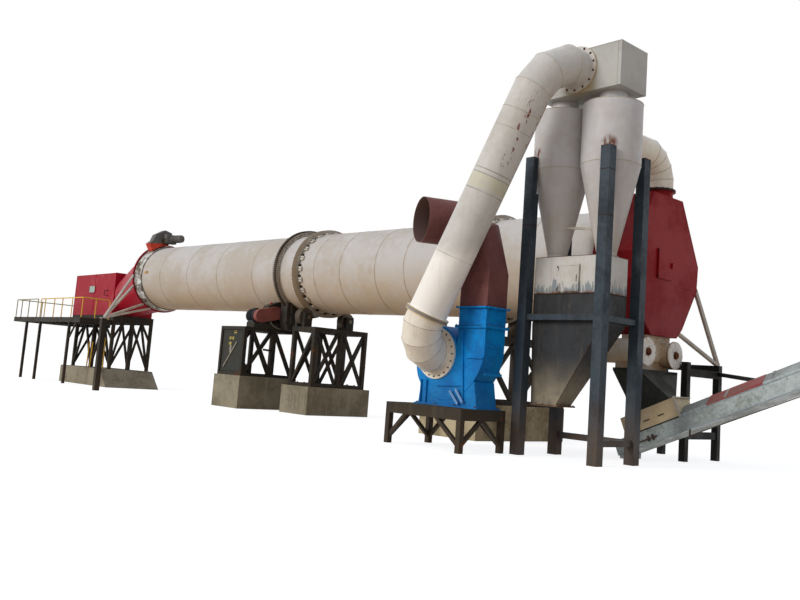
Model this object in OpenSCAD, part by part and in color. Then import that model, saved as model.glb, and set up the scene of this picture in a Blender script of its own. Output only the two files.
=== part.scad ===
// Rotary drum dryer: a long, slightly inclined drum that turns between a feed box and
// a discharge hood, with its drive, suction fan, cyclone tower and belt conveyor.
// All sizes are in millimetres. X runs along the drum towards the discharge end, the
// drive and the fan stand on the -Y side, and Z is up. The origin lies on the floor,
// straight under the drum's axis at the first riding ring.

/* [Drum] */
// Outer radius of the drum shell
drum_r = 1200; // [1190:1:1205]
// Thickness of the drum shell
drum_wall = 20; // [16:1:30]
// Height of the drum's axis above the floor at the first riding ring
axis_h = 4209; // [4200:1:4215]
// Fall of the drum towards the discharge end, in degrees
tilt = 1.0; // [0.8:0.1:1.2]
// Length of drum ahead of the first riding ring, on the feed side
drum_front = 10500; // [10450:10:10500]
// Length of drum behind the first riding ring, on the discharge side
drum_back = 10550; // [10500:10:10550]
// Distance between the two riding rings
ring_gap = 6900; // [6800:10:7000]
// Outer radius of the riding rings
ring_r = 1336; // [1330:1:1340]
// Width of the riding rings
ring_w = 180; // [150:5:200]

/* [Girth gear] */
// Place of the girth gear along the drum
gear_s = -977; // [-990:1:-960]
// Module of the gear teeth
gear_module = 20; // [20:1:20]
// Teeth on the girth gear
gear_teeth = 135; // [135:1:135]
// Teeth on the pinion
pinion_teeth = 18; // [18:1:18]
// Width of the girth gear
gear_w = 150; // [120:5:160]
// Distance of the pinion's shaft from the drum's axis plane
pinion_y = 640; // [630:5:645]

/* [Support rollers] */
// Radius of a support roller
roller_r = 250; // [240:1:260]
// Width of a support roller
roller_w = 220; // [200:5:230]
// Angle of each roller from straight below the drum, in degrees
roller_angle = 30; // [28:1:32]
// Running gap between a roller and its riding ring
roller_gap = 5; // [5:1:8]
// Radius of the roller shafts and of the pinion shaft
shaft_r = 60; // [50:1:60]
// Radial clearance of a shaft in its bearing
bearing_gap = 0.05; // [0.02:0.01:0.1]

/* [Feed end] */
// Ends of the feed box along X
feed_x = [-16965, -13010];
// Half width of the feed box
feed_half_y = 873; // [860:1:880]
// Bottom and top of the feed box
feed_z = [2880, 4610];
// Top of the feed foundation
feed_base_z = 700; // [650:10:720]
// Outer radius of the fixed flange round the drum's mouth
flange_r = 1291; // [1285:1:1300]
// Ends of the walkway along X
walk_x = [-20300, -12900];
// Outer edge of the walkway
walk_y = -2200; // [-2250:10:-2150]
// Top of the walkway
walk_z = 2660; // [2650:5:2670]
// Height of the handrail above the walkway
rail_h = 790; // [780:10:900]

/* [Drive station] */
// Ends of the drive frame along X
drive_x = [-2513, -1202];
// Ends of the drive frame along Y
drive_y = [-2047, -127];
// Bottom and top of the drive frame
drive_z = [958, 2422];

/* [Fan] */
// Ends of the fan frame along X
fan_frame_x = [8050, 10070];
// Ends of the fan frame along Y
fan_frame_y = [-4530, -3300];
// Top of the fan frame
fan_frame_z = 796; // [790:1:800]
// Front and back plates of the fan housing
fan_y = [-4000, -3440];
// Centre of the fan inlet, along X and Z
fan_eye = [8830, 1800];
// Sides of the fan outlet along X
outlet_x = [9360, 10060];
// Radius of the suction duct
duct_r = 375; // [370:1:380]
// Length of the straight suction duct
duct_len = 4170; // [4150:10:4190]

/* [Cyclone tower] */
// Places of the two cyclones along X
cyclone_x = [10475, 11612];
// Place of the cyclones along Y
cyclone_y = -2500; // [-2510:5:-2490]
// Radius of a cyclone body
cyclone_r = 565; // [560:1:566]
// Centres of the tower columns along X
column_x = [10210, 11952];
// Centres of the tower columns along Y
column_y = [-3078, -1920];
// Width of a tower column
column_w = 200; // [180:5:200]

/* [Discharge end] */
// Back and front of the discharge hood
hood_x = [10600, 11390];
// Rise of the belt conveyor, in degrees
belt_rise = 23.5; // [23:0.1:24]
// Length of the belt conveyor along its slope
belt_len = 7690; // [7600:10:7700]

/* [Hidden] */

concrete = [0.66, 0.63, 0.57];
dark_steel = [0.13, 0.12, 0.11];
column_grey = [0.20, 0.22, 0.25];
machine_red = [0.62, 0.10, 0.13];
cream = [0.83, 0.80, 0.73];
maroon = [0.30, 0.11, 0.11];
fan_blue = [0.10, 0.40, 0.70];
galvanised = [0.60, 0.62, 0.62];

gear_pitch_r = gear_module * gear_teeth / 2;
pinion_pitch_r = gear_module * pinion_teeth / 2;
tooth_play = 2;
pinion_dist = gear_pitch_r + pinion_pitch_r + tooth_play;
pinion_down = sqrt(pinion_dist ^ 2 - pinion_y ^ 2);
roller_dist = ring_r + roller_r + roller_gap;
flange_s = -drum_front - 60;
axis_slope = tan(tilt);

// ---------------------------------------------------------------- shared shapes

// The height of the drum's axis at a place along X
function axis_z(x) = axis_h - x * axis_slope;

function unit(v) = v / norm(v);

// A box between two opposite corners
module box(a, b) translate(a) cube(b - a);

// A shape drawn in the Y-Z plane, extruded from x0 to x1
module along_x(x0, x1) translate([x0, 0, 0]) rotate([90, 0, 90]) linear_extrude(x1 - x0) children();

// A shape drawn in the X-Z plane, extruded from y0 to y1
module along_y(y0, y1) translate([0, y1, 0]) rotate([90, 0, 0]) linear_extrude(y1 - y0) children();

// The drum's own frame at distance s along its axis: Z is the axis, X points down
module on_axis(s) translate([0, 0, axis_h]) rotate([0, 90 + tilt, 0]) translate([0, 0, s]) children();

// Points the Z axis from a towards b
module aimed(a, b) {
    v = b - a;
    translate(a) rotate([0, acos(v[2] / norm(v)), atan2(v[1], v[0])]) children();
}

// A rectangular bar from a to b: across is its horizontal width, deep its other side
module bar(a, b, across, deep) {
    aimed(a, b) translate([-deep / 2, -across / 2, 0]) cube([deep, across, norm(b - a)]);
}

// A round bar from a to b
module rod(a, b, r, sides = 48) aimed(a, b) cylinder(r = r, h = norm(b - a), $fn = sides);

// An upright square post
module post(x, y, z0, z1, w) box([x - w / 2, y - w / 2, z0], [x + w / 2, y + w / 2, z1]);

// A tube wall of two radii
module ring(r_out, r_in, h, sides = 96) {
    difference() {
        cylinder(r = r_out, h = h, $fn = sides);
        translate([0, 0, -1]) cylinder(r = r_in, h = h + 2, $fn = sides);
    }
}

// A rectangular frame of beams lying flat between two corners
module flat_frame(a, b, w) {
    difference() {
        box(a, b);
        box([a[0] + w, a[1] + w, a[2] - 1], [b[0] - w, b[1] - w, b[2] + 1]);
    }
}

// A box whose top and bottom differ: each is [x0, x1, y0, y1, z]
module tapered_box(low, high) {
    function corners(c) = [[c[0], c[2], c[4]], [c[1], c[2], c[4]], [c[1], c[3], c[4]], [c[0], c[3], c[4]]];
    polyhedron(
        points = concat(corners(low), corners(high)),
        faces = [[0, 1, 2, 3], [4, 5, 1, 0], [7, 6, 5, 4], [5, 6, 2, 1], [6, 7, 3, 2], [7, 4, 0, 3]]
    );
}

// ---------------------------------------------------------------- mitred pipes

// The direction of stretch i of a path
function heading(path, i) = unit(path[i + 1] - path[i]);

// The normal of the joint plane at corner i
function joint_normal(path, i) =
    i == 0 ? heading(path, 0)
    : i == len(path) - 1 ? heading(path, i - 1)
    : unit(heading(path, i - 1) + heading(path, i));

// A circle of points round p, square to d
function round_end(p, d, r, n) =
    let(side = abs(d[2]) < 0.9 ? [0, 0, 1] : [1, 0, 0], u = unit(cross(side, d)), v = cross(d, u))
    [for (i = [0:n - 1]) p + r * (cos(360 * i / n) * u + sin(360 * i / n) * v)];

// The circle carried along the path to corner i, cut by each joint plane on the way
function pipe_ring(path, r, n, i) =
    i == 0 ? round_end(path[0], heading(path, 0), r, n)
    : let(d = heading(path, i - 1), m = joint_normal(path, i))
      [for (q = pipe_ring(path, r, n, i - 1)) q + d * (((path[i] - q) * m) / (d * m))];

// A round pipe that follows a path, with flat mitred joints
module pipe(path, r, n = 36) {
    last = len(path) - 1;
    walls = [for (i = [0:last - 1]) for (j = [0:n - 1])
        [i * n + j, (i + 1) * n + j, (i + 1) * n + (j + 1) % n, i * n + (j + 1) % n]];
    caps = [[for (j = [0:n - 1]) j], [for (j = [n - 1:-1:0]) last * n + j]];
    polyhedron(
        points = [for (i = [0:last]) each pipe_ring(path, r, n, i)],
        faces = concat(caps, walls)
    );
}

// A direction turned about an axis that is square to it
function turned(d, axis, angle) = d * cos(angle) + cross(axis, d) * sin(angle);

// The sum of the first k directions of a bend
function summed(dirs, k) = k == 0 ? [0, 0, 0] : dirs[k] + summed(dirs, k - 1);

// The corners of a mitred bend of n joints that starts at p along d0 and leaves along d1
function bend(p, d0, d1, radius, n) =
    let(
        angle = acos(d0 * d1),
        axis = unit(cross(d0, d1)),
        t = radius * tan(angle / (2 * n)),
        dirs = [for (k = [0:n]) turned(d0, axis, angle * k / n)]
    )
    [
        p,
        for (k = [0:n - 1]) p + t * d0 + 2 * t * summed(dirs, k),
        p + t * d0 + 2 * t * summed(dirs, n - 1) + t * dirs[n]
    ];

// ---------------------------------------------------------------- hinged doors

door_t = 25;
door_face_gap = 5;
hinge_r = 8;
lug_half = 12;
lug_h = 50;
lug_inset = 60;
door_pocket = 180;

// A door that hangs on a pin at its own origin: it reaches along +X and opens to -Y
module pin_door(w, h) {
    difference() {
        cube([w, door_t, h]);
        for (z = [lug_inset - 5, h - lug_inset - lug_h - 5])
            translate([-1, -1, z]) cube([27, door_t + 2, lug_h + 10]);
    }
    cylinder(r = hinge_r, h = h, $fn = 48);
    translate([w - 70, -30, h / 2 - 60]) cube([20, 30, 120]);
}

// The two lugs that carry the door's pin
module door_lugs(h) {
    for (z = [lug_inset, h - lug_inset - lug_h])
        difference() {
            translate([-lug_half, -lug_half, z]) cube([2 * lug_half, lug_half + door_t + door_face_gap, lug_h]);
            translate([0, 0, z - 1]) cylinder(r = hinge_r + bearing_gap, h = lug_h + 2, $fn = 48);
        }
}

// The pocket in the wall behind the door
module door_opening(w, h) {
    translate([40, door_t + door_face_gap, 40]) cube([w - 80, door_pocket, h - 80]);
}

// ---------------------------------------------------------------- feed end

module feed_foundation() {
    color(concrete)
        along_y(-1300, 950)
            polygon([[-16550, 0], [-11900, 0], [-12600, feed_base_z], [-16550, feed_base_z]]);
}

leg_w = 120;
feed_leg_x = [-16440, -14655, -12870];
feed_leg_y = [-feed_half_y + leg_w / 2, 0, feed_half_y - leg_w / 2];
feed_frame_top = feed_z[0];
feed_frame_beam = 280;

module feed_frame() {
    beam_z = feed_frame_top - feed_frame_beam;
    color(dark_steel) union() {
        for (x = feed_leg_x) for (y = feed_leg_y) post(x, y, feed_base_z, beam_z + 1, leg_w);
        flat_frame([feed_x[0], -feed_half_y, beam_z], [-12810, feed_half_y, feed_frame_top], leg_w);
        box([feed_leg_x[1] - 60, -feed_half_y, beam_z], [feed_leg_x[1] + 60, feed_half_y, feed_frame_top]);
        box([feed_x[0], -60, beam_z], [-12810, 60, feed_frame_top]);
        for (y = [feed_leg_y[0], feed_leg_y[2]]) for (i = [0, 1]) {
            mid = (feed_leg_x[i] + feed_leg_x[i + 1]) / 2;
            for (x = [feed_leg_x[i], feed_leg_x[i + 1]]) bar([x, y, feed_base_z + 60], [mid, y, beam_z + 20], 80, 80);
        }
        for (x = [feed_leg_x[0], feed_leg_x[2]]) for (y = [feed_leg_y[0], feed_leg_y[2]]) {
            bar([x, y, feed_base_z + 60], [x, 0, beam_z - 100], 80, 80);
            bar([x, y, beam_z - 700], [x, y / 2, beam_z + 20], 80, 80);
        }
    }
}

module feed_box() {
    color(machine_red) box([feed_x[0], -feed_half_y, feed_z[0]], [feed_x[1], feed_half_y, feed_z[1]]);
}

mouth_r = 860;
mouth_z = (feed_z[0] + feed_z[1]) / 2;

module feed_transition() {
    color(machine_red) hull() {
        translate([feed_x[1], 0, mouth_z]) rotate([0, 90, 0]) cylinder(r = mouth_r, h = 10, $fn = 48);
        on_axis(flange_s - 40) cylinder(r = flange_r - 50, h = 40, $fn = 48);
    }
}

module feed_flange() {
    color(machine_red) on_axis(flange_s) ring(flange_r, 1150, 30);
}

seal_len = 480;
seal_wall = 16;

module feed_seal() {
    color(galvanised) on_axis(flange_s + 30) difference() {
        cylinder(r1 = 1284, r2 = 1238, h = seal_len, $fn = 96);
        translate([0, 0, -1])
            cylinder(r1 = 1284 - seal_wall, r2 = 1238 - seal_wall, h = seal_len + 2, $fn = 96);
    }
}

stay_foot = [-8900, -3000, 0];
stay_top = [-8900, -3000, 2540];

module strut_post() {
    color(dark_steel) post(stay_foot[0], stay_foot[1], 0, stay_top[2], 180);
}

// The struts spread from the post's top to four points round the flange's near side
strut_end_yz = [[-1310, 4360], [-1270, 3950], [-790, 3300], [-480, 3170]];

module feed_struts() {
    color(cream) difference() {
        union() {
            for (e = strut_end_yz)
                bar(stay_top + [0, 0, 35], [-10540, e[0], e[1]], 70, 70);
            translate(stay_top) translate([-110, -110, 0]) cube([220, 220, 20]);
        }
        on_axis(flange_s - 200) cylinder(r = flange_r, h = 900, $fn = 96);
        box(stay_top + [-200, -200, -200], stay_top + [200, 200, 0]);
    }
}

walk_leg_x = [-18750, -17150, -14000];

module walkway() {
    edge_z = walk_z - 200;
    color(dark_steel) union() {
        box([walk_x[0], walk_y, walk_z - 60], [walk_x[1], -feed_half_y, walk_z]);
        box([walk_x[0], -feed_half_y - 1, walk_z - 60], [feed_x[0], 900, walk_z]);
        flat_frame([walk_x[0], walk_y, edge_z], [walk_x[1], -feed_half_y, walk_z - 59], 80);
        flat_frame([walk_x[0], -feed_half_y - 80, edge_z], [feed_x[0], 900, walk_z - 59], 80);
        for (x = walk_leg_x) {
            post(x, walk_y + 50, 0, edge_z + 1, 100);
            box([x - 40, walk_y, edge_z], [x + 40, -feed_half_y, walk_z - 59]);
        }
        bar([walk_leg_x[2], walk_y + 50, walk_z - 900], [walk_leg_x[2] + 700, walk_y + 50, edge_z + 30], 60, 60);
    }
}

rail_r = 21;
rail_post_x = [-20250, -19630, -18760, -17720, -17330, -16870, -15860, -14990, -13980, -12950];

module handrail() {
    top = walk_z + rail_h;
    front = walk_y + 50;
    color([0.85, 0.62, 0.12]) union() {
        for (x = rail_post_x) rod([x, front, walk_z], [x, front, top], rail_r, 8);
        rod([rail_post_x[0], front, top], [rail_post_x[3], front, top], rail_r, 8);
        rod([rail_post_x[4], front, top], [rail_post_x[9], front, top], rail_r, 8);
        for (y = [-1030, 850]) rod([rail_post_x[0], y, walk_z], [rail_post_x[0], y, top], rail_r, 8);
        rod([rail_post_x[0], front, top], [rail_post_x[0], 850, top], rail_r, 8);
        rod([rail_post_x[9], front, top], [rail_post_x[9], -1030, top], rail_r, 8);
        for (y = [-1600, -1030]) rod([rail_post_x[9], y, walk_z], [rail_post_x[9], y, top], rail_r, 8);
    }
}

feeder_x = [-10420, -10120];

module feeder_hood() {
    color([0.42, 0.41, 0.39]) along_x(feeder_x[0], feeder_x[1])
        polygon([[-1000, 5640], [-860, 5760], [-760, 6020], [-390, 6240], [-80, 6160], [-310, 5730], [-560, 5700]]);
}

module feeder_chute() {
    color([0.80, 0.20, 0.12]) difference() {
        along_x(feeder_x[0] - 30, feeder_x[1])
            polygon([[-1000, 5640], [-560, 5700], [-310, 5730], [-200, 5730], [-200, 5500], [-820, 5330]]);
        on_axis(flange_s - 300) cylinder(r = flange_r + 1, h = 1200, $fn = 96);
    }
}

module feeder_motor() {
    color([0.33, 0.33, 0.33]) union() {
        box([feeder_x[1], -450, 5720], [feeder_x[1] + 280, -20, 6060]);
        rod([feeder_x[1] + 200, -220, 5890], [feeder_x[1] + 760, -60, 5900], 140);
    }
}

// ---------------------------------------------------------------- drum

// The places along the axis of the two site welds that join the three lengths of shell
site_weld_s = [-4600, 3480];
weld_gap = 0.5;

// A length of the drum's shell between two places along its axis
module shell_length(from, to) {
    color(cream) on_axis(from) ring(drum_r, drum_r - drum_wall, to - from, 128);
}

module drum_shell_feed() shell_length(-drum_front, site_weld_s[0] - weld_gap);
module drum_shell_middle() shell_length(site_weld_s[0], site_weld_s[1] - weld_gap);
module drum_shell_outlet() shell_length(site_weld_s[1], drum_back);

// The outline of a spur gear with straight-sided teeth
module gear_outline(teeth, thin) {
    pitch_r = gear_module * teeth / 2;
    step = 360 / teeth;
    root = pitch_r - 1.25 * gear_module;
    tip = pitch_r + gear_module;
    root_half = step * 0.33 - thin;
    tip_half = step * 0.13 - thin;
    polygon([for (i = [0:teeth - 1]) each [
        for (c = [[root, -root_half], [tip, -tip_half], [tip, tip_half], [root, root_half]])
            c[0] * [cos(i * step + c[1]), sin(i * step + c[1])]
    ]]);
}

gear_rim_r = 1290;
web_t = 30;

module girth_gear() {
    color([0.45, 0.38, 0.30]) on_axis(gear_s) {
        difference() {
            translate([0, 0, -gear_w / 2]) linear_extrude(gear_w) gear_outline(gear_teeth, 0);
            translate([0, 0, -gear_w]) cylinder(r = gear_rim_r, h = 2 * gear_w, $fn = 128);
        }
        translate([0, 0, -web_t / 2]) ring(gear_rim_r + 5, drum_r, web_t, 128);
    }
}

pad_count = 24;
pad_len = 160;

module riding_rings() {
    color([0.70, 0.66, 0.60]) for (s = [0, ring_gap]) on_axis(s) difference() {
        union() {
            translate([0, 0, -ring_w / 2]) cylinder(r = ring_r, h = ring_w, $fn = 128);
            for (i = [0:pad_count - 1]) rotate(i * 360 / pad_count)
                translate([drum_r - 20, -60, -ring_w / 2 - pad_len]) cube([60, 120, ring_w + 2 * pad_len]);
        }
        translate([0, 0, -500]) cylinder(r = drum_r, h = 1000, $fn = 128);
    }
}

// ---------------------------------------------------------------- drive station

module drive_foundation() {
    color(concrete) box([drive_x[0] - 60, drive_y[0] - 60, 0], [drive_x[1] + 60, drive_y[1] + 60, drive_z[0]]);
}

drive_beam = 100;

module drive_frame() {
    top = drive_z[1] - drive_beam;
    mid_y = -950;
    inner = [drive_x[0] + drive_beam / 2, drive_x[1] - drive_beam / 2];
    low = drive_z[0] + 40;
    color(dark_steel) union() {
        flat_frame([drive_x[0], drive_y[0], drive_z[0]], [drive_x[1], drive_y[1], drive_z[0] + 80], drive_beam);
        flat_frame([drive_x[0], drive_y[0], top], [drive_x[1], drive_y[1], drive_z[1]], drive_beam);
        box([drive_x[0], mid_y - 50, top], [drive_x[1], mid_y + 50, drive_z[1]]);
        for (x = inner) {
            for (y = [drive_y[0] + 60, mid_y, drive_y[1] - 60])
                box([x - 50, y - 60, drive_z[0]], [x + 50, y + 60, drive_z[1]]);
            bar([x, drive_y[0] + 80, low], [x, mid_y - 80, top + 50], 70, 110);
            bar([x, drive_y[0] + 280, top + 50], [x, mid_y - 50, low], 70, 110);
            bar([x, mid_y, top + 50], [x, drive_y[1] - 100, low], 70, 110);
        }
        box([drive_x[0], drive_y[0] + 40, low], [drive_x[1], drive_y[0] + 60, top + 10]);
    }
}

motor_x = [-1700, -1350];
motor_r = 200;
guard_x = [-1310, -1160];
guard_r = 200;
guard_ends = [[-1526, 2782], [-979, 2910]];
cover_x = [-1140, -800];
cover_step = guard_ends[1][0] + guard_r + 10;
drive_bed_z = 2582;

module drive_motor() {
    c = guard_ends[0];
    color([0.17, 0.18, 0.20]) union() {
        rod([motor_x[0], c[0], c[1]], [motor_x[1], c[0], c[1]], motor_r);
        rod([motor_x[1] - 1, c[0], c[1]], [guard_x[0], c[0], c[1]], 60);
        box([motor_x[0] + 40, c[0] - 150, drive_bed_z], [motor_x[1] - 40, c[0] + 150, c[1]]);
    }
}

module belt_guard() {
    v = guard_ends[1] - guard_ends[0];
    lean = atan2(v[1], v[0]);
    color([0.38, 0.13, 0.12]) along_x(guard_x[0], guard_x[1])
        polygon([for (e = [0, 1]) for (i = [0:24]) let(a = lean + 90 + 180 * (e + i / 24))
            guard_ends[e] + guard_r * [cos(a), sin(a)]]);
}

// The pinion's place across and up, at a place s along the drum
module at_pinion(s) on_axis(s) translate([pinion_down, -pinion_y, 0]) children();

module pinion_housing() {
    slot = gear_w + 30;
    color([0.15, 0.15, 0.14]) difference() {
        union() {
            box([-1610, -1740, drive_z[1]], [drive_x[1], -150, drive_bed_z]);
            along_x(-1600, guard_x[0]) polygon([[-1230, drive_bed_z - 1], [-150, drive_bed_z - 1], [-150, 3300],
                [-750, 3290], [-1030, 3190], [-1180, 3120], [-1230, 3040]]);
            along_x(guard_x[0] - 1, cover_x[0] + 1)
                polygon([[cover_step, drive_z[1]], [-150, drive_z[1]], [-150, 3300], [cover_step, 3290]]);
            along_x(cover_x[0], cover_x[1])
                polygon([[-790, drive_z[1]], [-560, drive_z[1]], [-410, 2650], [-410, 3120], [-650, 3220],
                    [-780, 3265], [-870, 3240], [-870, 2650]]);
        }
        on_axis(-2500) cylinder(r = drum_r + 30, h = 2500, $fn = 128);
        on_axis(gear_s - slot / 2) cylinder(r = gear_pitch_r + gear_module + 15, h = slot, $fn = 128);
        at_pinion(gear_s - slot / 2) cylinder(r = pinion_pitch_r + gear_module + 12, h = slot, $fn = 64);
        at_pinion(gear_s - 600) cylinder(r = shaft_r + bearing_gap, h = 600 + gear_w / 2 + 70, $fn = 64);
    }
}

module pinion() {
    mesh = atan2(-pinion_y, pinion_down);
    gear_step = 360 / gear_teeth;
    phase = mesh / gear_step - floor(mesh / gear_step);
    color([0.40, 0.34, 0.28]) at_pinion(gear_s) {
        rotate(mesh + 180 + (phase + 0.5) * 360 / pinion_teeth) translate([0, 0, -gear_w / 2])
            linear_extrude(gear_w) gear_outline(pinion_teeth, 0);
        translate([0, 0, -550]) cylinder(r = shaft_r, h = 550 + gear_w / 2 + 60, $fn = 64);
    }
}

// ---------------------------------------------------------------- roller stations

station_half_y = [1000, 1450];
station_base_z = 800;
pedestal_w = 280;
pedestal_t = 110;
pedestal_gap = 15;

// The place of the roller shafts at station s, on side -1 or 1
roller_drop = roller_dist * cos(roller_angle);
function roller_x(s) = s * cos(tilt) - roller_drop * sin(tilt);
function roller_y(side) = side * roller_dist * sin(roller_angle);
function roller_z(s) = axis_h - s * sin(tilt) - roller_drop * cos(tilt);

// A braced frame with bearing pedestals for two rollers, from x0 to x1 and half_y to each side
module roller_frame(s, x0, x1, half_y) {
    deck = roller_z(s) - roller_r - 60;
    w = 120;
    low = station_base_z + 50;
    color(dark_steel) difference() {
        union() {
            flat_frame([x0, -half_y, station_base_z], [x1, half_y, station_base_z + 100], w);
            flat_frame([x0, -half_y, deck - 140], [x1, half_y, deck], w);
            for (x = [x0 + w / 2, x1 - w / 2]) {
                for (y = [-half_y + w / 2, 0, half_y - w / 2])
                    post(x, y, station_base_z, deck, w);
                for (side = [-1, 1]) {
                    bar([x, side * (half_y - 80), low], [x, side * 80, deck - 70], 80, 90);
                    bar([x, side * 80, low], [x, side * (half_y - 80), deck - 70], 60, 90);
                }
            }
            for (side = [-1, 1]) {
                y = side * (half_y - w / 2);
                bar([x0 + 80, y, low], [x1 - 80, y, deck - 70], 80, 90);
                for (dx = [-1, 1]) {
                    near = roller_x(s) + dx * (roller_w / 2 + pedestal_gap);
                    far = near + dx * pedestal_t;
                    bottom = deck - 140;
                    box([min(near, far), roller_y(side) - pedestal_w / 2, bottom],
                        [max(near, far), roller_y(side) + pedestal_w / 2, roller_z(s) + 120]);
                    box([min(near, far), -half_y, bottom], [max(near, far), half_y, deck]);
                }
            }
        }
        for (side = [-1, 1]) on_axis(s - 500) translate([roller_drop, roller_y(side), 0])
            cylinder(r = shaft_r + bearing_gap, h = 1000, $fn = 64);
    }
}

// A support roller with its shaft
module roller(s, side) {
    shaft_half = roller_w / 2 + pedestal_gap + pedestal_t + 20;
    color([0.42, 0.38, 0.34]) on_axis(s) translate([roller_drop, roller_y(side), 0]) {
        translate([0, 0, -roller_w / 2]) cylinder(r = roller_r, h = roller_w, $fn = 96);
        translate([0, 0, -shaft_half]) cylinder(r = shaft_r, h = 2 * shaft_half, $fn = 64);
    }
}

module roller_foundation_1() {
    color(concrete) box([-350, -1150, 0], [950, 1150, station_base_z]);
}

module roller_foundation_2() {
    color(concrete) box([6000, -1600, 0], [7800, 1600, station_base_z]);
}

module roller_frame_1() roller_frame(0, -250, 850, station_half_y[0]);
module roller_frame_2() roller_frame(ring_gap, 6200, 7600, station_half_y[1]);
module roller_1() roller(0, -1);
module roller_2() roller(0, 1);
module roller_3() roller(ring_gap, -1);
module roller_4() roller(ring_gap, 1);

// ---------------------------------------------------------------- fan and stack

module fan_frame() {
    rim = 210;
    w = 110;
    top = fan_frame_z - rim;
    leg_x = [fan_frame_x[0] + w / 2, fan_frame_x[1] - w / 2];
    leg_y = [fan_frame_y[0] + w / 2, fan_frame_y[1] - w / 2];
    color(dark_steel) union() {
        flat_frame([fan_frame_x[0], fan_frame_y[0], top], [fan_frame_x[1], fan_frame_y[1], fan_frame_z], w);
        box([fan_frame_x[0], fan_y[0] - 60, top], [fan_frame_x[1], fan_y[0] + 60, fan_frame_z]);
        for (x = leg_x) for (y = leg_y) post(x, y, 0, top + 1, w);
        for (y = leg_y) {
            bar([leg_x[0], y, 120], [leg_x[0] + 480, y, top + 20], 70, 70);
            bar([leg_x[1], y, 120], [leg_x[1] - 620, y, top + 20], 70, 70);
        }
        for (x = leg_x) for (i = [0, 1])
            bar([x, leg_y[i], 120], [x, (leg_y[0] + leg_y[1]) / 2, top + 20], 70, 70);
    }
}

scroll_r = 550;
scroll_growth = 4.1;
scroll_start = 195;

// The radius of the fan's scroll at an angle from +X
function scroll_at(a) = scroll_r + max(0, a - scroll_start) * scroll_growth;

module scroll_outline() {
    foot_x = [8390, 9950];
    flat = acos((outlet_x[0] - fan_eye[0]) / scroll_r);
    polygon(concat(
        [[outlet_x[0], 2700]],
        [for (i = [0:60]) let(a = flat + (360 - flat) * i / 60)
            fan_eye + scroll_at(a) * [cos(a), sin(a)]],
        [[outlet_x[1], fan_eye[1]], [outlet_x[1], 2700]]
    ));
    polygon([[foot_x[0], fan_frame_z], [foot_x[1], fan_frame_z], [outlet_x[1] - 200, 1300], [8450, 1300]]);
}

module fan_housing() {
    color(fan_blue) union() {
        along_y(fan_y[0], fan_y[1]) scroll_outline();
        box([outlet_x[0] - 50, fan_y[0] - 50, 2310], [outlet_x[1] + 50, fan_y[1] + 50, 2360]);
        box([8340, fan_y[0] - 60, fan_frame_z], [10000, fan_y[1] + 60, fan_frame_z + 30]);
    }
}

stack_c = [(outlet_x[0] + outlet_x[1]) / 2, (fan_y[0] + fan_y[1]) / 2];
stack_square_z = [2700, 3380];
stack_r = 460;
mouth_c = [8550, -4420, 4420];
mouth_dir = unit([390, 920, 0]);
mouth_len = 350;
mouth_wall = 10;
stack_knee = [9440, -3520, 4000];
stack_bend = mouth_c + 620 * mouth_dir;
stack_path = [stack_knee, stack_bend, mouth_c + mouth_len * mouth_dir];

module stack_riser() {
    up = heading(stack_path, 0);
    color(maroon) {
        box([outlet_x[0], fan_y[0], stack_square_z[0]], [outlet_x[1], fan_y[1], stack_square_z[1]]);
        difference() {
            union() {
                hull() {
                    box([outlet_x[0], fan_y[0], stack_square_z[1] - 60], [outlet_x[1], fan_y[1], stack_square_z[1]]);
                    rod(stack_knee - 40 * up, stack_knee + 20 * up, stack_r + 12, 36);
                }
                pipe(stack_path, stack_r);
            }
            pipe([stack_knee + 150 * up, stack_path[1], mouth_c], stack_r - mouth_wall);
        }
    }
}

module stack_mouth() {
    color(maroon) aimed(mouth_c, stack_path[2]) ring(stack_r, stack_r - mouth_wall, mouth_len - 1, 96);
}

inlet_p = [fan_eye[0], fan_y[0] - 25, fan_eye[1]];
plenum_x = [10180, 12040];
plenum_y = [-2936, -2063];
plenum_z = [6940, 7800];
plenum_port = [11052, plenum_y[0], 7408];
port_flange_t = 50;
duct_dir = unit([365, 145, 920]);
low_bend = bend(inlet_p, [0, -1, 0], duct_dir, 610, 4);
low_end = low_bend[len(low_bend) - 1] + 60 * duct_dir;
duct_top = low_end + duct_len * duct_dir;
high_path = [duct_top, duct_top + 500 * duct_dir, [10960, -3717, 7169], plenum_port - [0, 330, 0], plenum_port];

module fan_elbow() {
    color(cream) union() {
        pipe(concat([[fan_eye[0], fan_y[0] - 5, fan_eye[1]]], low_bend, [low_end - 5 * duct_dir]), duct_r);
        rod([fan_eye[0], fan_y[0], fan_eye[1]], [fan_eye[0], fan_y[0] - 40, fan_eye[1]], 500, 36);
        rod(low_end - 40 * duct_dir, low_end, duct_r + 50, 36);
    }
}

module suction_duct() {
    color(cream) union() {
        rod(low_end, duct_top - duct_dir, duct_r, 96);
        rod(low_end, low_end + 40 * duct_dir, duct_r + 50, 96);
    }
}

module top_elbow() {
    color(cream) union() {
        pipe(high_path, duct_r);
        rod(plenum_port, plenum_port - [0, port_flange_t, 0], duct_r + 80, 36);
    }
}

// ---------------------------------------------------------------- cyclone tower

module plenum() {
    color([0.72, 0.72, 0.72])
        box([plenum_x[0], plenum_y[0], plenum_z[0]], [plenum_x[1], plenum_y[1], plenum_z[1]]);
}

cyclone_z = [3870, 5530, 6720];
dust_z = [2500, 3060, 3770];
outlet_pipe_r = 270;
spigot_r = 190;

module cyclone(x) {
    color(cream) translate([x, cyclone_y, 0]) rotate_extrude($fn = 96) polygon([
        [0, dust_z[2]], [spigot_r, dust_z[2]], [spigot_r, cyclone_z[0]], [cyclone_r, cyclone_z[1]],
        [cyclone_r, cyclone_z[2]], [outlet_pipe_r, cyclone_z[2]], [outlet_pipe_r, plenum_z[0]], [0, plenum_z[0]]
    ]);
}

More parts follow.
